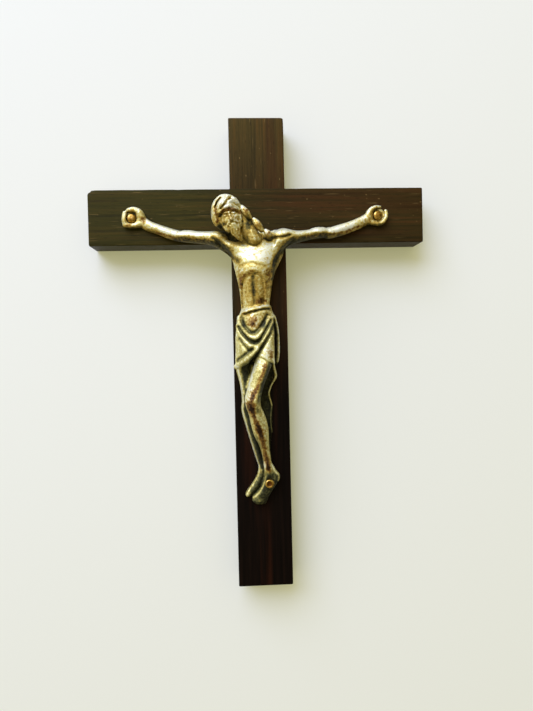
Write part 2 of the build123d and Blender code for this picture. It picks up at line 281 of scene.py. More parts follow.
def beamProfile():
    # each point of the loop as shares of the four corner centres, and the way out that its radius goes
    flat, bend = beams["flatSteps"], beams["cornerSteps"]
    shares, ways = [], []
    for corner in range(4):
        angles = np.radians(90 * corner + np.linspace(0, 90, bend + 1))
        own = np.zeros((bend + 1, 4))
        own[:, corner] = 1
        shares.append(own)
        ways.append(np.stack([np.cos(angles), np.sin(angles)], -1))
        t = np.arange(1, flat)[:, None] / flat
        shares.append(own[:1] * (1 - t) + np.roll(own[:1], 1, axis=1) * t)
        ways.append(np.repeat(ways[-1][-1:], flat - 1, axis=0))
    return np.concatenate(shares), np.concatenate(ways)


def beamStations(low, high):
    # places along a beam, close together at its ends and at the sides of the lap, and which are in the lap
    lap, step, beside = beams["halfWidth"], beams["step"], beams["lapStep"]
    ease = np.array(beams["ease"])
    first = np.concatenate([low + ease, np.arange(low + 1, -lap - 0.5, step), [-lap - beside, -lap]])
    middle = np.concatenate([[-lap], np.arange(-lap + step, lap - beside, step), [lap]])
    last = np.concatenate([[lap, lap + beside], np.arange(lap + 0.5 + step, high - 0.9, step), high - ease[::-1]])
    inLap = np.repeat([False, True, False], [len(first), len(middle), len(last)])
    return np.concatenate([first, middle, last]), inLap


def beamRings(low, high, lapInFront, seed, chips, knock):
    # place along the beam, u across it and v out from its back, for each point of each ring.
    # Corner order: right front, left front, left back, right back
    shares, ways = beamProfile()
    stations, inLap = beamStations(low, high)
    rounding = beams["endRound"]
    fromEnd = np.clip(rounding - np.minimum(stations - low, high - stations), 0, rounding)
    drawn = rounding - np.sqrt(np.clip(rounding ** 2 - fromEnd ** 2, 0, None))
    side = beams["halfWidth"] - drawn
    front, back = woodFront - drawn, drawn * beams["backRound"]
    (front if lapInFront else back)[inLap] = beams["lapDepth"]
    spare = beams["wearSpan"] - 1
    rough = np.random.default_rng(seed).normal(size=(len(stations) + 2 * spare, 4))
    bell = np.hanning(beams["wearSpan"]) / (spare / 2)
    smooth = np.stack([np.convolve(corner, bell, mode="same") for corner in rough.T], -1)[spare:-spare]
    radius = beams["edge"] + beams["wear"] * np.clip(smooth, *beams["wearLimits"])
    for place, corner, size, reach in chips:
        radius[:, corner] += size * np.exp(-((stations - place) / reach) ** 2)
    sharp = np.abs(stations) < beams["halfWidth"] + 0.1
    radius = np.where(sharp[:, None], beams["lapEdge"], np.clip(radius, beams["leastEdge"], None))
    centreU = np.stack([side, -side, -side, side], -1) - radius * np.array([1, -1, -1, 1])
    centreV = np.stack([front, front, back, back], -1) - radius * np.array([1, 1, -1, -1])
    u = centreU @ shares.T + (radius @ shares.T) * ways[:, 0]
    v = centreV @ shares.T + (radius @ shares.T) * ways[:, 1]
    if knock:
        u = np.minimum(u, (beams["halfWidth"] - knock[0] * (1 - (stations - low) / knock[1]))[:, None])
    return np.broadcast_to(stations[:, None], u.shape), u, v


z, u, v = beamRings(**beams["upright"])
points, faces = closedTube(np.stack([u, -v, z], -1))
finish = darkWood("darkWoodUpright", wood["upright"])
upright = newPiece("upright_beam", points, faces, finish, "upright", 40)
x, u, v = beamRings(**beams["crossbar"])
points, faces = closedTube(np.stack([x, -v, u], -1))
finish = darkWood("darkWoodCrossbar", wood["crossbar"])
crossbar = newPiece("crossbar_beam", points, faces, finish, "crossbar", 40)

# The hanging hole is drilled into the back with a cutter that is then thrown away
hole = {"height": 18.0, "radius": 2.0, "depth": 5.0, "around": 48}
turns = np.radians(np.arange(hole["around"]) * 360 / hole["around"])
ring = np.stack([np.cos(turns) * hole["radius"], 0 * turns, np.sin(turns) * hole["radius"] + hole["height"]], -1)
points, faces = closedTube(np.stack([ring + [0, 1, 0], ring - [0, hole["depth"], 0]]))
mesh = bpy.data.meshes.new("holeCutter")
mesh.from_pydata((points / 1000).tolist(), [], faces)
cutter = newObject("holeCutter", mesh)
drill = upright.modifiers.new("hole", "BOOLEAN")
drill.object = cutter
drill.operation = "DIFFERENCE"
drill.solver = "EXACT"
bored = bpy.data.meshes.new_from_object(upright.evaluated_get(bpy.context.evaluated_depsgraph_get()))
upright.modifiers.clear()
upright.data = bored
bpy.data.objects.remove(cutter)
print("beams made", len(upright.data.polygons), len(crossbar.data.polygons))

# Pins of polished brass, browned by age: a round head on a plain shank, domed at the hands and dished at
# the feet. The eye gets pale gold, and a redder, darker, duller middle that is a painted reflection: the whole dish at
# the feet, partly on each dome.
pins = {"left_hand_nail": (-31.7, 1.0, -0.4), "right_hand_nail": (30.6, 1.0, -0.3), "feet_nail": (1.3, 3.3, -67.7)}
pinShape = {  # a head's profile: radius and height above the seat
    "shank": 0.6, "depth": 5.0, "point": 1.6, "tip": 0.03, "around": 48, "seat": 1.32,
    "dished": [(0.6, 0.0), (1.12, 0.0), (1.15, 0.07), (1.14, 0.24), (1.09, 0.41), (0.99, 0.54), (0.86, 0.6),
               (0.73, 0.58), (0.6, 0.5), (0.45, 0.42), (0.24, 0.36), (0.02, 0.34)],
    "domed": [(0.6, 0.0), (1.12, 0.0), (1.15, 0.07), (1.12, 0.26), (1.02, 0.44), (0.84, 0.57), (0.6, 0.65),
              (0.35, 0.69), (0.02, 0.7)],
    "paintedReflectionFrom": 0.5, "paintedReflectionFade": 0.3, "domeRim": 0.6}
brass = {"ring": [(0.3, "#7d5c1e"), (0.5, "#c39a42"), (0.7, "#dfc070")],
         "paintedReflectionCentre": [(0.3, "#3c2210"), (0.5, "#6e4218"), (0.7, "#9a6a2a")], "cloud": 0.9,
         "roughness": {"To Min": 0.55, "To Max": 0.3}, "bump": {"Strength": 0.3, "Distance": 0.1 * mm}}
agedBrass, add = newMaterial("agedBrass")
place = add("TexCoord").outputs["Object"]
rim = add("Attribute", attribute_name="rim").outputs["Fac"]
cloud = add("TexNoise", {"Vector": place, "Scale": 1000 / brass["cloud"], "Detail": 3.0})
ringTone, paintedReflectionTone = [add("ValToRGB", {"Fac": cloud}, ramp=brass[tones]) for tones in ("ring", "paintedReflectionCentre")]
surface = add("BsdfPrincipled", {
    "Base Color": add("Mix", {0: rim, 6: paintedReflectionTone, 7: ringTone}, data_type="RGBA"), "Metallic": 1.0,
    "Roughness": add("MapRange", {"Value": rim, **brass["roughness"]}),
    "Normal": add("Bump", {"Height": cloud, **brass["bump"]})})
add("OutputMaterial", {"Surface": surface})
for name, (x, standOff, z) in pins.items():
    # a profile of radius and height turned about the pin's own line
    length, shank, around = standOff + pinShape["depth"], pinShape["shank"], pinShape["around"]
    dished = name == "feet_nail"
    stem = [(pinShape["tip"], -length), (shank, pinShape["point"] - length), (shank, -0.02)]
    profile = np.array(stem + pinShape["dished" if dished else "domed"])
    angle = np.radians(np.arange(around) * 360 / around)
    radius, rise = profile[:, :1], profile[:, 1:]
    out = -woodFront - standOff - rise + 0 * angle
    points, faces = closedTube(np.stack([x + radius * np.cos(angle), out, z + radius * np.sin(angle)], -1))
    piece = newPiece(name.replace("nail", "pin"), points, faces, agedBrass, name, 50)
    # painted reflection: from this radius inwards the head takes the redder, darker tone, fully in the dish and partly
    # on a dome
    share = (profile[:, 0] - pinShape["paintedReflectionFrom"]) / pinShape["paintedReflectionFade"]
    pointValues(piece, "rim", np.clip(share, 0 if dished else pinShape["domeRim"], 1).repeat(around))
print("pins made")

# The corpus is one casting in which limbs, folds and hair run into each other, so it is worked out as a
# field: the distance in mm from each point of a grid to the surface, negative inside, meshed at zero.
corpus = {"stepArms": 0.32, "stepBody": 0.18, "stepDepth": 0.18, "stepLegs": 0.26, "stepHead": 0.16, "far": 4.0,
          "rearmost": -2.0, "frontmost": 13.0, "flatBack": 0.03, "sideMargin": 1.5, "endMargin": 0.8, "ropeMargin": 1.2}


def gridLine(*stops):
    # places along one axis: each stop gives where a step size starts
    parts = [np.arange(a, b - step / 2, step) for (a, step), (b, _) in zip(stops, stops[1:])]
    return np.concatenate(parts).astype(np.float32)


axes = (gridLine((-36.6, corpus["stepArms"]), (-12.8, corpus["stepBody"]), (6.2, corpus["stepArms"]), (35.8, 0)),
        gridLine((-1.0, corpus["stepDepth"]), (11.9, 0)),
        gridLine((-75.6, corpus["stepLegs"]), (-9.8, corpus["stepHead"]), (6.2, 0)))
field = np.full([len(a) for a in axes], corpus["far"], np.float32)


def window(low, high):
    # the part of the grid between two corners, with its places along each axis
    cut = tuple(slice(*np.searchsorted(*row)) for row in zip(axes, zip(low, high)))
    x, h, z = [axis[own] for axis, own in zip(axes, cut)]
    return cut, x[:, None, None], h[None, :, None], z[None, None, :]


def frontWindow(low, high, above):
    # the same between two places in the front view, from a stand-off upwards
    return window((low[0], above, low[1]), (high[0], corpus["frontmost"], high[1]))


def rising(value, width):
    # a share that goes from 0 to 1 while value goes from 0 to width
    return np.clip(value / width, 0, 1)


def smoothLower(a, b, soft):
    # the lower of two fields, rounded off over a width of soft
    h = np.clip(0.5 + 0.5 * (b - a) / soft, 0, 1)
    return b + (a - b) * h - soft * h * (1 - h)


def join(cut, shape, soft):
    # adds a shape to the field in one window
    field[cut] = smoothLower(field[cut], shape.astype(np.float32), soft)


def ovalDistance(u, v, a, b, power):
    # distance to an oval of half-sizes a and b: its power sum, divided by how fast that grows
    p, q = np.abs(u) / a, np.abs(v) / b
    k = (p ** power + q ** power + 1e-9) ** (1 / power)
    slope = np.sqrt((p ** (power - 1) / a) ** 2 + (q ** (power - 1) / b) ** 2) / k ** (power - 1) + 1e-6
    return (k - 1) / slope * np.clip(k, 0.35, 1.0)


def eggDistance(u, v, w, a, b, c):
    # the same for an egg of three half-sizes
    p, q, r = u / a, v / b, w / c
    k = np.sqrt(p ** 2 + q ** 2 + r ** 2)
    return k * (k - 1) / (np.sqrt((p / a) ** 2 + (q / b) ** 2 + (r / c) ** 2) + 1e-6)


def limb(rows, soft, power=2.0, up=True, trim=None, toWood=False):
    # a limb that runs up or across: rows of the place along it, centre across it, half-width, stand-off of
    # the centre, front and back depth. With toWood its sides go straight down behind its centre
    table = np.array(rows)
    low, high = table[:, 0].min(), table[:, 0].max()
    aside, past = corpus["sideMargin"], corpus["endMargin"]
    corners = ((np.min(table[:, 1] - table[:, 2]) - aside, corpus["rearmost"], low - past),
               (np.max(table[:, 1] + table[:, 2]) + aside, corpus["frontmost"], high + past))
    cut, x, h, z = window(*[corner if up else corner[::-1] for corner in corners])
    along, sideways = (z, x) if up else (x, z)
    centre, half, middle, front, back = [c.reshape(along.shape) for c in through(rows, along.ravel())]
    out = np.maximum(h - middle, 0) if toWood else h - middle
    shape = ovalDistance(sideways - centre, out, half, np.where(h > middle, front, back), power)
    shape = np.maximum(shape, np.maximum(along - high, low - along))
    join(cut, np.maximum(shape, trim(x, z)) if trim else shape, soft)


def shortPieces(points, spacing):
    # the ends of short straight pieces of a smooth line through the points
    points = np.array(points, float)
    run = np.concatenate([[0], np.cumsum(np.linalg.norm(np.diff(points[:, :3], axis=0), axis=1))])
    stops = np.linspace(0, run[-1], max(3, int(run[-1] / spacing) + 2))
    fine = through(np.column_stack([run, points]).tolist(), stops).T
    return zip(fine[:-1], fine[1:])


def strandShape(x, h, z, points, spacing=0.45):
    # a rope through points of x, stand-off, z and radius: the least distance to its short straight pieces
    shape = np.inf
    for a, b in shortPieces(points, spacing):
        d = b[:3] - a[:3]
        t = np.clip(((x - a[0]) * d[0] + (h - a[1]) * d[1] + (z - a[2]) * d[2]) / max(d @ d, 1e-9), 0, 1)
        gap = np.sqrt((x - a[0] - t * d[0]) ** 2 + (h - a[1] - t * d[1]) ** 2 + (z - a[2] - t * d[2]) ** 2)
        shape = np.minimum(shape, gap - (a[3] + t * (b[3] - a[3])))
    return shape


def lineDistance(x, z, points, spacing=0.4):
    # distance in the front view to a smooth line through points of x and z
    gap = np.inf
    for a, b in shortPieces(points, spacing):
        d = b - a
        t = np.clip(((x - a[0]) * d[0] + (z - a[1]) * d[1]) / max(d @ d, 1e-9), 0, 1)
        gap = np.minimum(gap, np.hypot(x - a[0] - t * d[0], z - a[1] - t * d[1]))
    return gap


def strand(points, soft):
    # adds a rope
    table = np.array(points)
    reach = table[:, 3].max() + corpus["ropeMargin"]
    cut, x, h, z = window(table[:, :3].min(0) - reach, table[:, :3].max(0) + reach)
    join(cut, strandShape(x, h, z, points), soft)


def blob(centre, radii, soft):
    # adds an egg
    margin = corpus["sideMargin"]
    cut, x, h, z = window(np.subtract(centre, radii) - margin, np.add(centre, radii) + margin)
    join(cut, eggDistance(x - centre[0], h - centre[1], z - centre[2], *radii), soft)


grooves = []


def creases(rows):
    # pushes the surface in along lines drawn in the front view, as bell curves; a negative depth raises it
    for width, depth, above, line in rows:
        grooves.append((line, width, depth))
        cut, x, h, z = frontWindow(np.min(line, 0) - 3 * width, np.max(line, 0) + 3 * width, above)
        field[cut] += (depth * np.exp(-(lineDistance(x, z, line) / width) ** 2)).astype(np.float32)


def dents(rows):
    # the same for round places
    for x0, z0, wide, tall, depth, above in rows:
        cut, x, h, z = frontWindow((x0 - 3 * wide, z0 - 3 * tall), (x0 + 3 * wide, z0 + 3 * tall), above)
        field[cut] += (depth * np.exp(-((x - x0) / wide) ** 2 - ((z - z0) / tall) ** 2)).astype(np.float32)


def frontAt(points):
    # stand-off of the frontmost surface at places of x and z, read from the field
    i = np.clip(np.searchsorted(axes[0], points[:, 0]), 0, len(axes[0]) - 1)
    k = np.clip(np.searchsorted(axes[2], points[:, 1]), 0, len(axes[2]) - 1)
    inside = field[i, :, k] < 0
    return axes[1][field.shape[1] - 1 - np.argmax(inside[:, ::-1], axis=1)] * inside.any(1)


def folds(rows):
    # rounded folds laid on the frontmost surface, standing out from it by rise
    for line, radius, rise, soft in rows:
        line = np.array(line, float)
        radius = np.broadcast_to(radius, len(line))
        strand(np.column_stack([line[:, 0], frontAt(line) + rise - radius, line[:, 1], radius]), soft)


# Trunk and arms. A row along a limb is as in limb above. A bulge: centre, half-sizes, softness. A crease:
# width, depth, least stand-off, then its line in the front view. A dent: x, z, reach across, reach up,
# depth, least stand-off.
body = {
    "trunk": [(-28, -1, 3.6, 2, 3.5, 3), (-24.5, -1.15, 3.6, 2, 3.6, 3), (-22.3, -1.2, 3.65, 2, 3.8, 3),
        (-19.4, -1.12, 3.95, 2, 4.3, 3), (-16.7, -1.1, 4.45, 2, 4.8, 3), (-14.7, -1.05, 4.95, 2, 5.1, 3),
        (-12.3, -0.7, 5.8, 2, 5, 3), (-10, -0.5, 6.6, 2, 4.5, 3), (-8, -0.45, 6.7, 2, 3.8, 3),
        (-6, -0.4, 6, 2, 2.9, 3), (-4.4, -0.4, 4.4, 2, 2, 3)],
    "leftArm": [(-31, -0.8, 1.2, 0.5, 0.8, 1), (-29.6, -1.1, 1.55, 0.6, 1, 1),
        (-28.2, -1.85, 1.6, 0.65, 1.15, 1), (-27, -2.5, 1.4, 0.8, 1.3, 1.1),
        (-25.2, -3.2, 1.32, 0.9, 1.5, 1.2), (-22.6, -4.25, 1.42, 1.1, 1.7, 1.4),
        (-19.8, -5.05, 1.4, 1.3, 1.8, 1.6), (-18.2, -5.15, 1.5, 1.4, 1.95, 1.8),
        (-16.6, -5.35, 1.5, 1.5, 2.15, 2), (-14.1, -5.6, 1.52, 1.6, 2.45, 2),
        (-11.7, -5.9, 1.75, 1.8, 2.9, 2.2), (-9.5, -6.5, 2.3, 2, 3.3, 2.4), (-7, -7.3, 3.2, 2, 3.6, 3),
        (-4, -8, 3.4, 2, 3.6, 3)],
    "rightArm": [(4, -7.4, 3.2, 2, 3.6, 3), (6.2, -6.3, 2.7, 2, 3.5, 3), (8, -5.85, 1.85, 2, 3.2, 2.4),
        (9.6, -5.75, 1.5, 1.9, 2.9, 2.2), (11.8, -5.4, 1.3, 1.8, 2.5, 2), (14.3, -4.9, 1.28, 1.6, 2.25, 2),
        (16.3, -4.65, 1.35, 1.5, 2.05, 1.8), (17.8, -4.75, 1.4, 1.35, 1.8, 1.6),
        (20.5, -4.15, 1.5, 1.2, 1.7, 1.4), (24, -3, 1.45, 1, 1.45, 1.2), (26.7, -1.85, 1.52, 0.7, 1.2, 1),
        (28.4, -1, 1.5, 0.6, 1, 1), (29.6, -0.5, 1.15, 0.5, 0.8, 1)],
    "bulges": [((6.2, 3.6, -5.5), (2.5, 2, 1.3), 0.5), ((-9.8, 3.4, -6.2), (2.8, 1.9, 1.5), 0.8),
        ((-17.2, 2, -5.3), (2.3, 1.75, 1.45), 0.3), ((14.9, 2.1, -4.7), (2.1, 1.75, 1.3), 0.3)],
    "creases": [(0.35, 0.35, 2, [(3.9, -6.4), (5.4, -6.5), (7.6, -5.9)]),
        (0.4, 0.12, 1, [(-19.5, -3.8), (-19.3, -5.2), (-20, -6.4)]),
        (0.4, 0.14, 1, [(17.1, -3.5), (17.4, -4.6), (16.8, -5.8)]),
        (0.45, 0.35, 2, [(-11.4, -6.3), (-9.1, -8.2), (-7.4, -10.1), (-5.4, -12)]),
        (0.45, 0.3, 2, [(8.3, -6.9), (5.8, -9.4), (4.2, -11.5), (3.5, -13.4)]),
        (0.3, 0.16, 4, [(-4.9, -13.4), (-3.4, -13), (-1.7, -12.85), (-0.2, -13.4), (1.3, -13.7)]),
        (0.4, 0.22, 3, [(-1.8, -16.2), (-1.65, -19.3), (-1.45, -22.6)]),
        (0.3, 0.16, 2, [(1.5, -15.9), (2.9, -15)]), (0.3, 0.16, 2, [(1.7, -17.4), (2.9, -16.7)]),
        (0.3, 0.14, 2, [(1.8, -19), (2.7, -18.5)]), (0.3, 0.16, 2, [(-5.2, -15.6), (-4.5, -16.2)]),
        (0.3, 0.16, 2, [(-5.1, -17.3), (-4.5, -17.8)])],
    "dents": [(-6.4, -6.2, 3, 1.5, 1.1, 3), (-4.4, -7, 1.6, 1.2, 0.5, 3), (2.6, -7.2, 1.5, 0.9, 0.5, 3),
        (0.6, -22, 0.7, 0.8, 0.25, 3)],
    "arch": {"middle": -1.6, "top": -14.4, "left": 3.1, "right": 2.8, "fall": 3.4, "depth": 0.4,
        "edge": 1.3, "end": -25.5, "side": 1.08, "sideFade": 0.2, "endFade": 1.5}}
limb(body["trunk"], soft=0.3, power=2.3)
limb(body["leftArm"], soft=1.0, up=False)
limb(body["rightArm"], soft=1.0, up=False)
for bulge in body["bulges"]:
    blob(*bulge)
creases(body["creases"])
dents(body["dents"])
# the belly lies deeper than the ribs, inside an arch that falls with the fourth power of the way out
# from its middle
arch = body["arch"]
cut, x, h, z = frontWindow((-6, arch["end"]), (3, arch["top"]), 2)
out = (x - arch["middle"]) / np.where(x < arch["middle"], arch["left"], arch["right"])
inside = rising(arch["top"] - arch["fall"] * out ** 4 - z, arch["edge"])
inside = inside * rising(arch["side"] - np.abs(out), arch["sideFade"]) * rising(z - arch["end"], arch["endFade"])
field[cut] += (arch["depth"] * inside * inside * (3 - 2 * inside)).astype(np.float32)
print("trunk and arms done")

# Loincloth: wrapped body, rolled waistband, hanging swags, a diagonal rolled hem and ends on the right.
# A fold: its line in the front view, its radius and how far it stands out at each point, and its softness.
cloth = {
    "wrap": [(-23.6, -0.95, 3.7, 1.8, 3.8, 3), (-25.7, -1, 4.6, 1.8, 4, 3),
        (-27.9, -1, 5.05, 1.8, 4.3, 3), (-31, -1.1, 5.3, 1.8, 4.6, 3), (-34.3, -1.25, 5.2, 1.8, 4.5, 3),
        (-37, -1.5, 5.1, 1.8, 4.1, 3), (-39.5, -1.7, 5, 1.8, 3.5, 3)],
    "thigh": [(-26, 1.9, 1.5, 2.4, 2.6, 2), (-29, 1.8, 1.75, 2.8, 3.1, 2), (-32, 1.5, 2.05, 3.2, 3.3, 2),
        (-35, 1, 2.4, 3.9, 3.1, 2.4), (-37.5, 0.75, 2.45, 4.3, 2.9, 2.4), (-39, 0.4, 2.4, 4.5, 2.8, 2.4)],
    "belly": ((-1.7, 3.2, -26.9), (2.8, 2.95, 2.9), 0.4),
    "folds": [([(-4.5, -24.9), (-3.4, -24.5), (-1.9, -24.15), (-0.3, -23.8), (1.3, -23.5), (2.5, -23.6)],
        [0.45, 0.55, 0.62, 0.64, 0.62, 0.5], [0.25, 0.45, 0.5, 0.5, 0.45, 0.2], 0.25), ([(-3.9, -25.6),
        (-1.9, -25.2), (-0.2, -24.9), (1.2, -24.55), (2.5, -24.4)], [0.3, 0.4, 0.45, 0.42, 0.3],
        [0.1, 0.2, 0.22, 0.2, 0.1], 0.25), ([(-5.3, -25.9), (-5.2, -27.2), (-4.4, -28.7), (-3.4, -30.1),
        (-2.4, -30.9), (-1.2, -31.1), (-0.2, -30.3), (0.7, -29.1), (1.6, -27.6), (2.6, -25.9)],
        [0.6, 0.8, 0.95, 1, 1, 1, 0.95, 0.85, 0.75, 0.55],
        [0.1, 0.3, 0.5, 0.6, 0.7, 0.7, 0.65, 0.5, 0.35, 0.1], 0.45), ([(-5.8, -28), (-5.3, -29.5),
        (-4.6, -30.8), (-3.7, -32.1), (-2.7, -33.1), (-1.7, -33), (-0.9, -32.2)],
        [0.5, 0.75, 0.9, 0.9, 0.85, 0.75, 0.5], [0.1, 0.25, 0.4, 0.5, 0.5, 0.3, 0.05], 0.45), ([(-6.3, -38.1),
        (-5.4, -37.4), (-4, -36.5), (-2.7, -35.5), (-1.5, -34.3), (-0.5, -33), (0.4, -31.7), (1.3, -30.2),
        (2.1, -28.8), (2.8, -27), (3, -25.8)], [0.7, 0.85, 0.98, 1.05, 1.05, 1, 0.95, 0.9, 0.8, 0.65, 0.5],
        [0.4, 0.6, 0.75, 0.85, 0.9, 0.9, 0.85, 0.7, 0.5, 0.3, 0.1], 0.35)],
    "creases": [(0.24, 0.3, 3, [(-4, -25.2), (-2.5, -24.8), (-0.7, -24.4), (0.7, -24.05), (2.4, -24)]),
        (0.4, 0.4, 2, [(-4.9, -25.9), (-4.6, -27.2), (-3.5, -28.9), (-2.2, -29.85), (-1.4, -29.6),
        (-0.2, -28.4), (0.9, -26.9), (1.6, -25.6)]), (0.36, 0.45, 2, [(-5.6, -28.3), (-4.6, -30),
        (-3.3, -31.4), (-1.9, -32.2), (-0.7, -31.8), (0.4, -30.4), (1.5, -28.6), (2.5, -26.9)]),
        (0.4, 0.3, 3, [(-5.4, -31.4), (-4.4, -32.9), (-3.3, -34.2)]),
        (0.4, 0.35, 3, [(-6, -36.7), (-4.6, -35.6), (-3.2, -34.5), (-2.2, -33.9)]),
        (0.36, 0.5, 2, [(-2.6, -36.7), (-1.2, -35.2), (-0.1, -33.6), (1, -32), (2.4, -29.8), (3.1, -28)]),
        (0.3, 0.8, 0.6, [(3.4, -26.6), (3.55, -29.5), (3.6, -33.5), (3.5, -36.6)])],
    "ends": [[(3.4, 2.6, -25.8, 0.42), (4, 1.9, -28.3, 0.46), (4.3, 1.5, -32, 0.46),
        (4.2, 1.4, -36, 0.42), (3.9, 1.3, -37.6, 0.3)], [(3.1, 2.2, -35, 0.4), (2.95, 1.8, -38, 0.45),
        (3.35, 1.5, -39.9, 0.45), (3.5, 1.4, -41, 0.4), (3.1, 1.3, -41.9, 0.3)]],
    "hem": (-6.4, -38.3, 0.6, 0.8), "panelHem": (-0.5, -36.3, 0.42)}
hemX, hemZ, hemAcross, hemDown = cloth["hem"]
panelX, panelZ, panelFall = cloth["panelHem"]
# both are cut off below, the wrap along the rolled hem and the thigh's panel along its own
limb(cloth["wrap"], soft=0.25, power=2.2, trim=lambda x, z: (x - hemX) * hemAcross - (z - hemZ) * hemDown)
limb(cloth["thigh"], soft=0.3, power=2.3, trim=lambda x, z: panelZ - panelFall * (x - panelX) - z)
blob(*cloth["belly"])
folds(cloth["folds"])
creases(cloth["creases"])
for rope in cloth["ends"]:
    strand(rope, soft=0.25)
print("loincloth done")

# Legs: the right one crosses in front, the left one shows as a ridge beside it, joined by a thin web that is painted
# dark as shade together with patina
legs = {
    "front": [(-34, 1.2, 2, 3.8, 2.8, 2.2), (-37.2, 0.45, 2.2, 4.4, 2.75, 2.4),
        (-40.4, -0.75, 2.05, 4.9, 2.6, 2.6), (-44.5, -2.1, 1.9, 5.3, 2.5, 2.8),
        (-46.4, -2.5, 1.95, 5.4, 2.6, 2.8), (-48, -2.35, 1.85, 5.2, 2.4, 2.8),
        (-50, -1.6, 1.95, 4.8, 2.25, 2.8), (-52.7, -0.95, 2.08, 4.3, 2.2, 2.8),
        (-55.5, -0.45, 1.8, 3.9, 2.05, 2.6), (-58, 0.15, 1.25, 3.5, 1.8, 2.4),
        (-61.8, 0.83, 0.98, 3, 1.5, 2.2), (-64.7, 1.2, 0.92, 2.7, 1.4, 2), (-66.8, 1.2, 1, 2.2, 1.3, 1.8)],
    "back": [(-34, -4, 2.2, 0, 2.6, 1), (-36, -4.2, 2.2, 0, 2.6, 1), (-39, -4.55, 1.9, 0, 2.35, 1),
        (-42, -4.05, 1.7, 0, 2.15, 1), (-45, -3.7, 1.6, 0, 2, 1), (-47, -3.7, 1.5, 0, 1.95, 1),
        (-49, -3.85, 1.55, 0, 1.95, 1), (-51, -3.55, 1.5, 0, 1.85, 1), (-53, -3.05, 1.45, 0, 1.8, 1),
        (-56, -2.4, 1.25, 0, 1.7, 1), (-59, -1.75, 1.05, 0, 1.65, 1), (-62, -0.95, 0.95, 0, 1.6, 1),
        (-64.2, -0.35, 0.95, 0, 1.6, 1), (-66.3, -0.85, 1.1, 0, 1.6, 1), (-68.5, -2, 1.3, 0, 1.5, 1),
        (-70.3, -3.4, 1.2, 0, 1.35, 1), (-71.4, -4, 0.9, 0, 1, 1)],
    "web": [(-33, -1.2, 4.4, 0, 0.8, 1), (-37, -1.2, 4.4, 0, 0.8, 1), (-41, -1, 4, 0, 0.8, 1),
        (-45, -1.4, 3.2, 0, 0.8, 1), (-49, -1, 3.5, 0, 0.8, 1), (-54, -0.5, 2.9, 0, 0.8, 1),
        (-58, 0, 2, 0, 0.8, 1), (-62, 0.4, 1.5, 0, 0.8, 1), (-65, 0.6, 1.5, 0, 0.8, 1)],
    "rim": [(3, 1.1, -42, 0.26), (2.2, 1.1, -43.6, 0.28), (1.75, 1.1, -45.1, 0.28), (2, 1.1, -46.6, 0.28),
        (2.4, 1.1, -48.1, 0.28), (2.3, 1.05, -49.8, 0.26), (2.05, 1, -52.2, 0.24), (2.15, 0.95, -53.8, 0.22),
        (2.4, 0.85, -55.2, 0.16)],
    "knee": ((-2.6, 6.1, -46.4), (1.5, 1.7, 1.9), 0.5),
    "creases": [(0.65, -0.32, 5, [(1.2, -37.6), (0.3, -40.4), (-0.8, -43.2), (-1.45, -45.4), (-1.6, -47.8)]),
        (0.4, -0.16, 4, [(-2.1, -49.3), (-1.3, -51.4), (-0.9, -54), (-0.4, -57), (0.5, -61)]),
        (0.4, 0.14, 5, [(-0.9, -49.2), (-2.1, -49.4), (-3.3, -48.6)]),
        (0.2, 0.22, 4, [(-1, -35.7), (-0.3, -36.1), (0.4, -36.4), (1.4, -37), (2.6, -37.7)])],
    "foot": [(-62.6, 1, 0.95, 2.4, 1.6, 2), (-65, 1.85, 1.5, 1.9, 1.7, 2),
        (-66.2, 2.1, 1.85, 1.7, 1.75, 2), (-67.7, 1.5, 1.95, 1.6, 1.8, 2), (-69.4, 0.65, 1.75, 1.4, 1.7, 2),
        (-70.6, -0.3, 2, 1.3, 1.5, 2), (-71.6, -0.95, 2, 1.2, 1.3, 2), (-72.6, -1, 1.7, 1.1, 1.05, 1.5),
        (-73.3, -0.9, 1.25, 1, 0.7, 1)],
    "toes": ((-1.35, 1.1, -72.2), (1.75, 1.3, 1.15), 0.4),
    "backToes": ((-4.15, 0.9, -70.9), (0.55, 0.75, 0.6), 0.4),
    "edges": [([(0.1, -62.2), (0.35, -64.4), (0.3, -66.2), (-0.6, -69), (-1.6, -70.4), (-2.8, -71.5)],
        0.28, 0.12, 0.2),
        ([(-0.95, -63.4), (-1.2, -65.2), (-2.6, -68), (-3.7, -69.6), (-4.4, -70.7)], 0.26, 0.1, 0.2),
        ([(1.9, -63), (2.9, -64.8), (3.75, -66), (3.55, -67.2)], 0.3, 0.1, 0.2)],
    "heel": ((3.3, 1.4, -66.2), (0.8, 1.2, 1), 0.4)}
limb(legs["web"], soft=0.2, power=3.0)
limb(legs["back"], soft=0.3)
strand(legs["rim"], soft=0.35)
limb(legs["front"], soft=0.35, power=2.3, toWood=True)
blob(*legs["knee"])
creases(legs["creases"])
limb(legs["foot"], soft=0.35, power=2.2, toWood=True)
for part in ("heel", "toes", "backToes"):
    blob(*legs[part])
folds(legs["edges"])
print("legs and feet done")

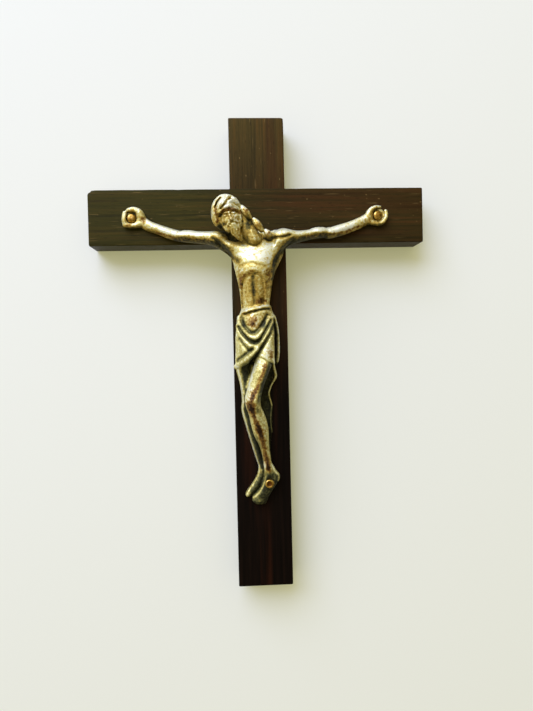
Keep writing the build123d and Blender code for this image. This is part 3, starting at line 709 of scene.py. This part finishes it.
# Hands: cupped round their pins, fingers curled in from the outer edge. Ropes of x, stand-off, z and radius
hands = {
    "palms": [((-31.6, 0.2, -0.3), (2.3, 0.85, 2.2), 0.3), ((30.6, 0.2, -0.4), (2.3, 0.85, 2.2), 0.3)],
    "fingers": [[(-29.6, 0.7, -1.7, 1), (-30.6, 0.9, -2.15, 0.75), (-32, 1, -2.2, 0.66), (-33.2, 1, -2.1, 0.64)],
        [(-29.2, 0.8, -0.4, 1.1), (-29.7, 1.1, 0.95, 0.92), (-30.7, 1.15, 1.6, 0.76), (-32, 1.05, 1.7, 0.64),
        (-32.6, 0.95, 1.6, 0.5)],
        [(-33.4, 0.95, 1, 0.5), (-33.4, 1.15, 0.1, 0.66), (-33.4, 1.15, -1, 0.7), (-33.3, 1, -2, 0.62)],
        [(28.2, 0.8, -0.9, 1.05), (28.5, 1.15, 0.4, 0.8), (29.3, 1.2, 1.35, 0.6), (30.4, 1.1, 1.75, 0.48),
        (31.3, 1, 1.75, 0.38)], [(28.5, 0.7, -1.8, 0.9), (29.5, 0.9, -2.25, 0.62), (30.8, 1, -2.55, 0.55),
        (31.9, 1.1, -2.15, 0.52), (32.65, 1.2, -1.1, 0.5), (32.85, 1.2, 0, 0.48), (32.7, 1.1, 0.8, 0.4)]]}
for palm in hands["palms"]:
    blob(*palm)
for rope in hands["fingers"]:
    strand(rope, soft=0.25)
print("hands done")

# Neck
neck = {"rope": [(-4.6, 5.3, -1.5, 1.7), (-2.5, 5.4, -4.8, 1.75), (-1.3, 5.3, -6.75, 1.9)],
        "creases": [(0.35, -0.2, 6, [(-1.9, -5.2), (-0.9, -7.6)])]}
strand(neck["rope"], soft=0.22)
creases(neck["creases"])

# Head, worked out in its own leaning and bowed directions: s across the face, t up, f out of the face.
# An egg: centre and half-sizes in s, t and f, then its softness. A rope: points of s, f, t and radius.
# What is given once for the right cheek is turned over for the left
head = {
    "middle": (-7.5, 6.3, -0.6), "lean": 20.0, "bow": 12.0,
    "skull": ((0, 1.1, -0.2), (2.8, 3.3, 2.9)), "jaw": ((0, -1.5, 0.7), (2.3, 3.2, 2.4)),
    "brow": [(-1.9, 2.3, 0.25, 0.3), (-0.9, 2.85, 0.35, 0.36), (0, 2.9, 0.2, 0.34), (0.9, 2.85, 0.35, 0.36),
             (1.9, 2.3, 0.25, 0.3)],
    "eyeHollow": ((1.05, -0.35, 3.15), (0.75, 0.48, 0.6)), "eyelid": ((1.05, -0.42, 2.4), (0.62, 0.36, 0.5), 0.12),
    "cheek": ((1.3, -1.5, 2.05), (0.8, 0.7, 0.7), 0.5), "nostril": ((0.42, -1.75, 3.05), (0.34, 0.3, 0.36), 0.2),
    "nose": [(0, 2.8, 0.1, 0.26), (0, 3.25, -0.9, 0.32), (0, 3.45, -1.6, 0.42)],
    "beard": [(0, 1.9, -3.2, 1.4), (0.1, 2.0, -4.6, 1.2), (0.4, 2.0, -5.9, 0.85), (0.7, 1.9, -7.0, 0.4)],
    "whiskers": [(2.2, 0.9, -0.6, 0.55), (2.0, 1.3, -2.0, 0.75), (1.2, 1.8, -3.6, 0.85)],
    "moustache": [(0.15, 2.95, -2.05, 0.28), (0.8, 2.85, -2.3, 0.34), (1.45, 2.45, -2.95, 0.22)],
    "lip": ((0, -2.75, 2.9), (0.6, 0.22, 0.35)), "cap": ((0, 1.75, -0.6), (2.95, 2.9, 2.85)),
    "leftHair": [(-2.4, 0.2, 2.2, 0.95), (-2.9, 0.4, 0.4, 1.0), (-3.0, 0.4, -1.4, 0.9), (-2.8, 0.2, -2.7, 0.55)],
    "rightHair": [(2.4, 0.2, 2.2, 0.9), (2.75, 0.4, 0.6, 0.8), (2.7, 0.3, -0.8, 0.6)],
    "waves": {"depth": 0.09, "across": 9, "up": 2.2, "bend": 1.2}, "hairFront": 2.2, "hairLine": 2.0}
lean, bow = np.radians((head["lean"], head["bow"]))
cut, x, h, z = frontWindow((-13, -9.6), (-1.8, 6.2), 1.5)
dx, dh, dz = x - head["middle"][0], h - head["middle"][1], z - head["middle"][2]
s = dx * np.cos(lean) + dz * np.sin(lean)
up = -dx * np.sin(lean) + dz * np.cos(lean)
t = up * np.cos(bow) + dh * np.sin(bow)
f = dh * np.cos(bow) - up * np.sin(bow)


def onHead(centre, radii, side=1):
    # distance to an egg in the head's own directions
    return eggDistance(s - side * centre[0], t - centre[1], f - centre[2], *radii)


def lockOnHead(points, side=1):
    # the same for a rope
    return strandShape(s, f, t, np.array(points) * (side, 1, 1, 1), 0.6)


skin = smoothLower(onHead(*head["skull"]), onHead(*head["jaw"]), 0.8)
skin = smoothLower(skin, lockOnHead(head["brow"]), 0.3)
for side in (-1, 1):
    skin = -smoothLower(-skin, onHead(*head["eyeHollow"], side), 0.25)
    for centre, radii, soft in (head["eyelid"], head["cheek"], head["nostril"]):
        skin = smoothLower(skin, onHead(centre, radii, side), soft)
skin = smoothLower(skin, lockOnHead(head["nose"]), 0.25)
whiskers = np.minimum(lockOnHead(head["whiskers"], -1), lockOnHead(head["whiskers"]))
beard = smoothLower(lockOnHead(head["beard"]), whiskers, 0.4)
waves = head["waves"]
beard = beard + waves["depth"] * np.sin(s * waves["across"] + np.sin(t * waves["up"]) * waves["bend"])
skin = smoothLower(skin, beard, 0.25)
for side in (-1, 1):
    skin = smoothLower(skin, lockOnHead(head["moustache"], side), 0.15)
skin = smoothLower(skin, onHead(*head["lip"]), 0.12)
sideHair = np.minimum(lockOnHead(head["leftHair"]), lockOnHead(head["rightHair"]))
hairCap = smoothLower(onHead(*head["cap"]), sideHair, 0.5)
hairCap = np.maximum(hairCap, np.minimum((f - head["hairFront"]) * 0.9, (head["hairLine"] - t) * 0.9))
join(cut, smoothLower(skin, hairCap, 0.12), 0.2)

# Hair: thick wound bands round the crown, and beaded locks down to the right shoulder
hair = {
    "leftBand": [(-8.2, 6.4, 3.3, 0.5), (-9.3, 6.5, 2.8, 0.65), (-10.3, 6.5, 1.8, 0.75),
        (-10.75, 6.4, 0.5, 0.78), (-10.85, 6.3, -0.9, 0.75), (-10.75, 6.2, -2.2, 0.68),
        (-10.3, 6, -3.3, 0.5)],
    "folds": [([(-7.4, 2.9), (-8, 2.1), (-8.8, 1), (-9.5, -0.1), (-10.1, -1.3)],
        [0.7, 0.85, 0.9, 0.85, 0.65], [0.4, 0.6, 0.65, 0.6, 0.3], 0.12), ([(-7.5, 1.7), (-6.6, 1.8),
        (-5.6, 1.5), (-4.9, 0.9)], [0.7, 0.85, 0.85, 0.6], [0.4, 0.55, 0.55, 0.3], 0.12), ([(-9.5, -0.9),
        (-8.6, 0), (-7.2, 0.4), (-5.9, 0.35), (-4.9, 0)], [0.45, 0.6, 0.65, 0.6, 0.45],
        [0.3, 0.5, 0.55, 0.5, 0.3], 0.1),
        ([(-7.5, 2.9), (-6.7, 2.8), (-6, 2.3)], [0.55, 0.65, 0.5], [0.3, 0.4, 0.25], 0.12)],
    "creases": [(0.22, 0.75, 4, [(-9.25, 2.7), (-10.05, 1.7), (-10.6, 0.5)]),
        (0.24, 0.42, 5, [(-6.9, 2.4), (-7.6, 1.7), (-8.3, 0.8), (-9.1, -0.2)]),
        (0.22, 0.28, 5, [(-9.3, -1.7), (-8.2, -0.9), (-7, -0.65), (-5.8, -0.65), (-4.9, -0.9)]),
        (0.16, 0.14, 5, [(-7.8, 2.6), (-8.6, 1.4), (-9.4, 0.2)])],
    "locks": [[(-4.1, 7, 0.6, 0.6), (-3.1, 7.1, -0.7, 0.85), (-2.3, 6.7, -1.8, 0.6)],
        [(-1.2, 6.3, -2.3, 0.6), (-0.3, 6.5, -3.5, 0.88), (0.6, 6.2, -4.8, 0.6)],
        [(1.6, 5.8, -4.9, 0.55), (2.2, 6, -5.65, 0.84), (2.8, 5.6, -6.35, 0.55)]],
    "lockLines": [(0.16, 0.16, 6, [(-0.9, -2.6), (0.3, -4.5)]),
        (0.16, 0.18, 6, [(-3.6, -0.2), (-2.7, -1.5)])]}
strand(hair["leftBand"], soft=0.2)
folds(hair["folds"])
creases(hair["creases"])
for rope in hair["locks"]:
    strand(rope, soft=0.15)
creases(hair["lockLines"])
print("head done")

# Seats of the pins, and the flat back on the wood
for x0, seat, z0 in pins.values():
    cut, x, h, z = frontWindow((x0 - 3, z0 - 3), (x0 + 3, z0 + 3), corpus["rearmost"])
    bore = np.maximum(np.hypot(x - x0, z - z0) - pinShape["seat"], seat - h)
    field[cut] = -smoothLower(-field[cut], bore.astype(np.float32), 0.12)
field[:] = np.maximum(field, corpus["flatBack"] - axes[1][None, :, None])

# Film in the recesses, found by how much of a small box round each point is metal or wood. A recess: the
# box's reach in grid steps, the share that a flat face fills, and how fast the film grows past that
recess = {"wide": ((4, 5, 5), 0.5, 1.9), "narrow": ((2, 2, 2), 0.54, 2.0), "most": 0.6, "blur": 0.36}
solid = np.clip(0.5 - field / recess["blur"], 0, 1)
solid[:, axes[1] < corpus["flatBack"], :] = 1


def crowding(reaches):
    # the mean over a box that reaches so many steps either way, from running totals along each axis
    crowd = solid
    for axis, reach in enumerate(reaches):
        ends = [np.repeat(crowd.take([end], axis), count, axis) for end, count in ((0, reach + 1), (-1, reach))]
        total = np.cumsum(np.concatenate([ends[0], crowd, ends[1]], axis), axis, dtype=np.float32)
        span = 2 * reach + 1
        upper = total.take(range(span, total.shape[axis]), axis)
        crowd = (upper - total.take(range(total.shape[axis] - span), axis)) / span
    return crowd


grid = openvdb.FloatGrid(corpus["far"])
grid.copyFromArray(field)
places, quads = grid.convertToQuads(isovalue=0.0)
nearest = tuple(np.clip(np.rint(places[:, i]).astype(int), 0, len(axes[i]) - 1) for i in range(3))
recesses = [np.clip((crowding(reaches)[nearest] - level) * gain, 0, recess["most"])
            for reaches, level, gain in (recess["wide"], recess["narrow"])]
across, standOff, height = [np.interp(places[:, i], np.arange(len(axes[i])), axes[i]) for i in range(3)]
points = np.column_stack([across, -woodFront - standOff, height])
faces = outward(points, quads.astype(int).tolist())
print("corpus faces", len(faces))

# Wear, and painted shade and light, in the front view. A spot: x, z, reach across, reach up, amount, and for some the
# stand-off that it
# stays below. A streak: reach, amount, then its line
wear = {
    "tarnishAndShade": [(-1.7, -18.8, 2.5, 3.6, 0.34), (-0.6, -22.2, 2.2, 0.9, 0.4), (0.2, -21.8, 0.8, 0.8, 0.5),
        (-5, -15.6, 0.6, 2, 0.5), (2.2, -15.5, 1.1, 3, 0.45), (1, -19.5, 0.8, 1.8, 0.4),
        (-1.8, -27.2, 2.2, 2, 0.48), (-2.2, -27.6, 0.7, 0.8, 0.55), (-3.6, -25, 1.2, 0.5, 0.4),
        (2.4, -35.3, 0.6, 1.1, 0.66), (1.6, -33, 0.7, 1.6, 0.2), (-3.1, -47.6, 1.1, 1.7, 0.95),
        (-0.9, -54, 1.3, 1.8, 0.4), (1.1, -64, 0.9, 2, 0.5), (-1.4, -6.8, 1.6, 1.6, 0.25),
        (-7.3, -1.8, 2.6, 2.4, 0.42), (-4.5, -5.6, 1.2, 1.6, 0.35), (-3, -0.8, 0.9, 1.2, 0.52),
        (-0.3, -3.6, 1, 1.4, 0.52), (2.2, -5.7, 0.9, 1, 0.55), (-28.5, -1, 1, 0.9, 0.6),
        (-2.6, -44.6, 0.9, 1, 0.4), (-32.4, -2.2, 1.6, 0.7, 0.4), (27.5, -1.8, 1.4, 0.8, 0.4)],
    # Tarnish streaks; the one along the lower edge of the forehead band and those along the lower sides of the arms are
    # painted shade in tarnish colours
    "tarnishAndShadeStreaks": [(0.6, 0.72, [(0.6, -37.6), (0.2, -39.2), (-0.7, -41.6), (-1.8, -44.4)]),
        (0.7, 0.55, [(-1.9, -44), (-2.7, -45.8)]),
        (0.75, 0.85, [(-2.7, -48.7), (-1.9, -51.5), (-1, -54), (-0.3, -56.5)]),
        (0.7, 0.74, [(-0.3, -56.5), (0.3, -60), (0.9, -63.5)]),
        (0.5, 0.5, [(-4.7, -18.4), (-4.4, -16.3), (-3.4, -15.5), (-1.9, -15)]),
        (0.4, 0.5, [(-9.6, -1.6), (-8.4, -0.6), (-7, -0.3), (-5.6, -0.35), (-4.6, -0.8)]),
        (0.5, 0.6, [(-10.6, 0.4), (-10.4, -1.2), (-10.1, -2.8)]),
        (0.45, 0.6, [(-25.5, -4.1), (-23, -5.1), (-20, -6), (-16, -6.3), (-12.5, -6.9)]),
        (0.45, 0.6, [(25.5, -3.3), (23, -4.3), (20, -5.2), (16, -5.5), (12, -6.1)])],
    # Patina spots, some of them painted shade: on the chest left of the beard below the hair, at the top of the neck
    # below the jaw and along the lower sides of the arms. A negative amount is painted light, as along the tops of the
    # arms.
    "patinaAndShade": [(-8.6, -4.4, 2.2, 1.2, 0.7, 5.6), (-9.3, -3.9, 1, 0.7, 0.6),
        (-6.2, -6.3, 2.4, 1.3, 0.5, 6.2), (-4.6, -7.8, 1.6, 0.7, 0.25, 6.6), (-2.7, -3.6, 1, 1.6, 0.65, 8.4),
        (-0.6, -5.7, 1.3, 0.8, 0.4, 7.2), (-2.8, -6.6, 0.5, 1.3, 0.3, 7.4), (1.2, -69, 1.6, 1.8, 0.2),
        (-2.4, -68.2, 1.3, 2.4, -0.06), (-1.4, -72.3, 1.6, 0.9, -0.18), (-4.3, -27.4, 0.5, 1.2, 0.3),
        (-2.1, -29.7, 1.3, 0.5, 0.3), (0.5, -27.7, 0.7, 1.3, 0.45), (-1.6, -32.2, 1.4, 0.6, 0.3),
        (4.1, -32, 0.4, 5.5, 0.5), (3.4, -15.5, 0.6, 4, 0.3), (-1.8, -19, 2.4, 3.4, 0.2),
        (-6.3, -10.7, 1.2, 1.2, -0.16), (-1.1, -34.1, 0.9, 0.5, -0.2), (1.6, -35.2, 1.2, 1.2, -0.04),
        (-5.2, -33.6, 0.8, 1.4, 0.06), (2.5, -12, 1.2, 1.4, -0.08), (-0.8, -41, 1.6, 4, 0.2),
        (-0.9, -57, 2.2, 6, 0.12), (-7.4, 1.4, 2.8, 1.6, -0.32), (-6.3, -0.2, 1.5, 0.5, -0.24),
        (-1, -10.6, 4, 2, -0.08), (-31.6, -0.3, 2.6, 2.6, 0.08), (30.8, -0.3, 2.8, 2.6, 0.1),
        (30.8, -2.5, 1.4, 0.6, 0.3), (-1, -24.3, 3.4, 0.8, 0.1), (-18.4, -5.7, 1.9, 0.45, 0.36),
        (15.3, -5.2, 2.6, 0.45, 0.32), (-17, -4.3, 9, 0.95, -0.28), (17, -3.9, 9, 0.95, -0.32),
        (-4, -33, 1.5, 3, -0.05)],
    # Patina streaks; those along the lower sides of the arms, in the armpits and between the beard and the locks are
    # painted shade with patina
    "patinaAndShadeStreaks": [(0.75, 0.34, [(1.6, -38), (1.3, -39.2), (0.3, -41.7), (-0.6, -44.6), (-1, -46.4)]),
        (0.4, 0.1, [(-13.4, -7.2), (-10.2, -8.5), (-7.8, -9.9), (-6.1, -11.4), (-5, -12.5)]),
        (0.32, 0.36, [(-21, -6), (-17, -6.4), (-13.5, -6.7), (-10.5, -7.6)]),
        (0.32, 0.36, [(20.5, -5.2), (16, -5.6), (12, -6.3), (9.5, -7)]),
        (0.35, 0.5, [(1.3, -6.5), (2.1, -7), (3, -6.9), (3.4, -6.2), (3.4, -5.4)]),
        (0.45, 0.1, [(-1.8, -16.3), (-1.65, -19.3), (-1.45, -22.5)]),
        (0.5, 0.35, [(11.5, -6.7), (8.7, -7.4), (6.5, -8.7), (4.7, -10.5), (3.7, -12.2)])],
    "rubbed": [(0.7, 0.95, [(-5.9, -38), (-5.9, -39.2), (-5.55, -41), (-5.3, -42.8), (-5, -45)]),
        (0.42, 0.95, [(-5, -45), (-4.95, -47), (-5.1, -48.7), (-4.3, -52.8), (-2.65, -58.9), (-1.2, -64)]),
        (0.24, 0.65, [(-1.2, -64), (-1.25, -65.2), (-2.65, -68), (-3.8, -69.6), (-4.5, -70.8)]),
        (0.55, 0.9, [(-4.3, -70.6), (-4.5, -71.1)]),
        (0.5, 0.75, [(-2.2, -38.2), (-2.7, -40.1), (-3.5, -42.3), (-3.9, -43.4)]),
        (0.24, 0.6, [(0.1, -62.2), (0.35, -64.4), (0.3, -66.2), (-0.6, -69), (-1.6, -70.4), (-2.8, -71.5)]),
        (0.22, 0.7, [(1.9, -63), (2.9, -64.8), (3.75, -66), (3.55, -67.2)]),
        (0.4, 0.9, [(3.2, -36.5), (3.3, -38.6), (3.7, -40.6), (3.1, -42)]),
        (0.25, 0.8, [(3.1, -42), (2.2, -43.6), (1.75, -45.1), (2, -46.6), (2.4, -48.1)]),
        (0.2, 0.4, [(2.4, -48.1), (2.05, -52.2), (2.4, -55.2)]),
        (0.25, 0.85, [(3.8, -26), (4.35, -28.3), (4.7, -31.5), (4.6, -34.5), (4.3, -37.3)])],
    "deepBelow": 3, "deepFade": 0.5, "deepFrom": -36.6, "deepTo": -65.5, "deepest": 0.86,
    "seatReach": (1.45, 1.45, 1.25), "grooveReach": 1.6, "grooveAmount": 1.1, "grooveMost": 0.5,
    # On this line the last three amounts are painted shade on faces that look down or right and painted light on faces
    # that look up
    "footFrom": -63.6, "foot": 0.52, "most": 0.74, "all": 0.14, "under": 0.5, "aside": 0.14, "above": 0.18,
    "anyStandOff": 20, "spotFade": 0.8, "deepTopFade": 0.6, "deepEndFade": 1.5, "seatFade": 0.25,
    "seatRise": 0.5, "footFade": 2, "underFrom": 0.15, "paintedShadeRightFrom": 0.2, "bareBelow": 0.2}


def spotted(spots):
    # bell curves round each spot, added up
    x0, z0, wide, tall, amount, below = np.array([(*spot, wear["anyStandOff"])[:6] for spot in spots]).T
    bells = np.exp(-((across[:, None] - x0) / wide) ** 2 - ((height[:, None] - z0) / tall) ** 2)
    return (amount * bells * rising(below - standOff[:, None], wear["spotFade"])).sum(1)


def streaked(streaks):
    # bell curves across each line, the greatest of them at each point
    return np.max([amount * np.exp(-(lineDistance(across, height, line) / reach) ** 2)
                   for reach, amount, line in streaks], axis=0)


# This level is patina in recesses, in grooves and round the pins, patina with painted shade low between the legs,
# and painted shade on faces that look down or right; faces that look up are lightened as painted light, and it is
# rubbed off edges
# painted shade with patina: the thin web low between the legs, near the wood, goes dark
low = rising(wear["deepFrom"] - height, wear["deepTopFade"]) * rising(height - wear["deepTo"], wear["deepEndFade"])
webShadeAndPatina = rising(wear["deepBelow"] - standOff, wear["deepFade"]) * low * wear["deepest"]
seats = [rising(reach - np.hypot(across - x0, height - z0), wear["seatFade"]) * (standOff < seat + wear["seatRise"])
         for (x0, seat, z0), reach in zip(pins.values(), wear["seatReach"])]
lines = streaked([(width * wear["grooveReach"], min(depth * wear["grooveAmount"], wear["grooveMost"]), line)
                  for line, width, depth in grooves if depth > 0])
patinaAndShade = np.max([*recesses, lines], axis=0) + spotted(wear["patinaAndShade"]) + streaked(wear["patinaAndShadeStreaks"]) + wear["all"]
patinaAndShade += wear["foot"] * rising(wear["footFrom"] - height, wear["footFade"])
rubbed = 1 - streaked(wear["rubbed"])
# red-brown tarnish, with the painted shade of those streaks
tarnishAndShade = (spotted(wear["tarnishAndShade"]) + streaked(wear["tarnishAndShadeStreaks"])) * rubbed

# Cast brass, silvered and worn: pale where rubbed, then gold, brown and a black-olive film towards the
# recesses, greener from the cloth down, with red-brown tarnish and pits. The film's level is also painted shade, and
# painted light where lowered; the tarnish's level also holds painted shade. A pattern: its size and its detail.
# An uneven level: the shares of its two patterns
metal = {
    "tones": [(0.02, "#ecebcb"), (0.16, "#e0d484"), (0.34, "#c09e42"), (0.52, "#7b6d33"), (0.72, "#3d3a20"),
              (1.0, "#1b1a0f")],
    "lowTones": [(0.02, "#ecebcb"), (0.16, "#e0d88e"), (0.34, "#b6a85c"), (0.52, "#767446"), (0.72, "#3d3d26"),
                 (1.0, "#1b1b11")], "lowSpan": {"From Min": -23.0 * mm, "From Max": -28.0 * mm},
    "tarnishAndShade": [(0.2, "#d3b658"), (0.45, "#aa8836"), (0.7, "#74491a"), (1.0, "#3a200a")], "pit": "#2a1606",
    "patterns": {"cloud": (2.6, 4.0), "blotch": (1.1, 3.0), "mottle": (0.6, 3.0), "grain": (0.35, 2.0)},
    "ragged": 0.6, "patinaAndShadeUneven": (0.85, 0.4), "stainAndShadeUneven": (1.2, 1.2), "pitUneven": (1.6, 1.4),
    "cleanShare": {"From Min": 0.4, "From Max": 0.8, "To Min": 1.0, "To Max": 0.0},
    "stainAndShadeShare": {"From Min": 0.15, "From Max": 0.5, "To Max": 0.95},
    "pitShare": {"From Min": 0.85, "From Max": 1.05, "To Max": 0.9}, "pitDepth": 0.6,
    "roughness": {"To Min": 0.46, "To Max": 0.62}, "bump": {"Strength": 0.4, "Distance": 0.2 * mm},
    "metallic": 0.55, "specular": 0.2}
material, add = newMaterial("silveredCastBrass")
place = add("TexCoord").outputs["Object"]
dark, tarnishAndShadeShare = [add("Attribute", attribute_name=name).outputs["Fac"] for name in ("patinaAndShade", "tarnishAndShade")]
cloud, blotch, mottle, grain = [
    add("TexNoise", {"Vector": place, "Scale": 1000 / size, "Detail": detail, "Roughness": metal["ragged"]})
    for size, detail in metal["patterns"].values()]


def uneven(level, first, second, shares):
    # a level made ragged by two patterns, each counted from its middle value of a half
    once = add("Math", {0: first, 1: shares[0], 2: level}, operation="MULTIPLY_ADD")
    twice = add("Math", {0: second, 1: shares[1], 2: once}, operation="MULTIPLY_ADD")
    return add("Math", {0: twice, 1: -sum(shares) / 2}, operation="ADD")


patinaAndShadeLevel = uneven(dark, mottle, cloud, metal["patinaAndShadeUneven"])
warmTone, coolTone = [add("ValToRGB", {"Fac": patinaAndShadeLevel}, ramp=metal[tones]) for tones in ("tones", "lowTones")]
lower = add("MapRange", {"Value": add("SeparateXYZ", {"Vector": place}).outputs["Z"], **metal["lowSpan"]})
patinaAndShadeTone = add("Mix", {0: lower, 6: warmTone, 7: coolTone}, data_type="RGBA")
clean = add("MapRange", {"Value": patinaAndShadeLevel, **metal["cleanShare"]})
stainAndShadeLevel = uneven(tarnishAndShadeShare, blotch, mottle, metal["stainAndShadeUneven"])
stainAndShadeTone = add("ValToRGB", {"Fac": stainAndShadeLevel}, ramp=metal["tarnishAndShade"])
stainAndShadeCover = add("MapRange", {"Value": stainAndShadeLevel, **metal["stainAndShadeShare"]})
stainAndShadeShare = add("Math", {0: stainAndShadeCover, 1: clean}, operation="MULTIPLY")
browned = add("Mix", {0: stainAndShadeShare, 6: patinaAndShadeTone, 7: stainAndShadeTone}, data_type="RGBA")
pits = add("MapRange", {"Value": uneven(tarnishAndShadeShare, mottle, grain, metal["pitUneven"]), **metal["pitShare"]})
relief = add("Math", {0: pits, 1: -metal["pitDepth"], 2: mottle}, operation="MULTIPLY_ADD")
surface = add("BsdfPrincipled", {
    "Base Color": add("Mix", {0: pits, 6: browned, 7: linear(metal["pit"])}, data_type="RGBA"),
    "Metallic": metal["metallic"], "Specular IOR Level": metal["specular"],
    "Roughness": add("MapRange", {"Value": patinaAndShadeLevel, **metal["roughness"]}),
    "Normal": add("Bump", {"Height": relief, **metal["bump"]})})
add("OutputMaterial", {"Surface": surface})

piece = newPiece("cast_corpus", points, faces, material, "corpus", 180)
normals = np.empty(3 * len(points), np.float32)
piece.data.vertices.foreach_get("normal", normals)
facingX, _, facingZ = normals.reshape(-1, 3).T
# painted shade on faces that look down or to the right, away from the light at the upper left, and painted light on
# faces that look up
patinaAndShade += wear["under"] * np.clip(-facingZ - wear["underFrom"], 0, 1)
patinaAndShade += wear["aside"] * np.clip(facingX - wear["paintedShadeRightFrom"], 0, 1) - wear["above"] * np.clip(facingZ, 0, 1)
patinaAndShade = np.max([np.clip(patinaAndShade, 0, wear["most"]), webShadeAndPatina, *seats], axis=0) * rubbed * (standOff > wear["bareBelow"])
pointValues(piece, "patinaAndShade", patinaAndShade)
pointValues(piece, "tarnishAndShade", tarnishAndShade)
print("corpus made")
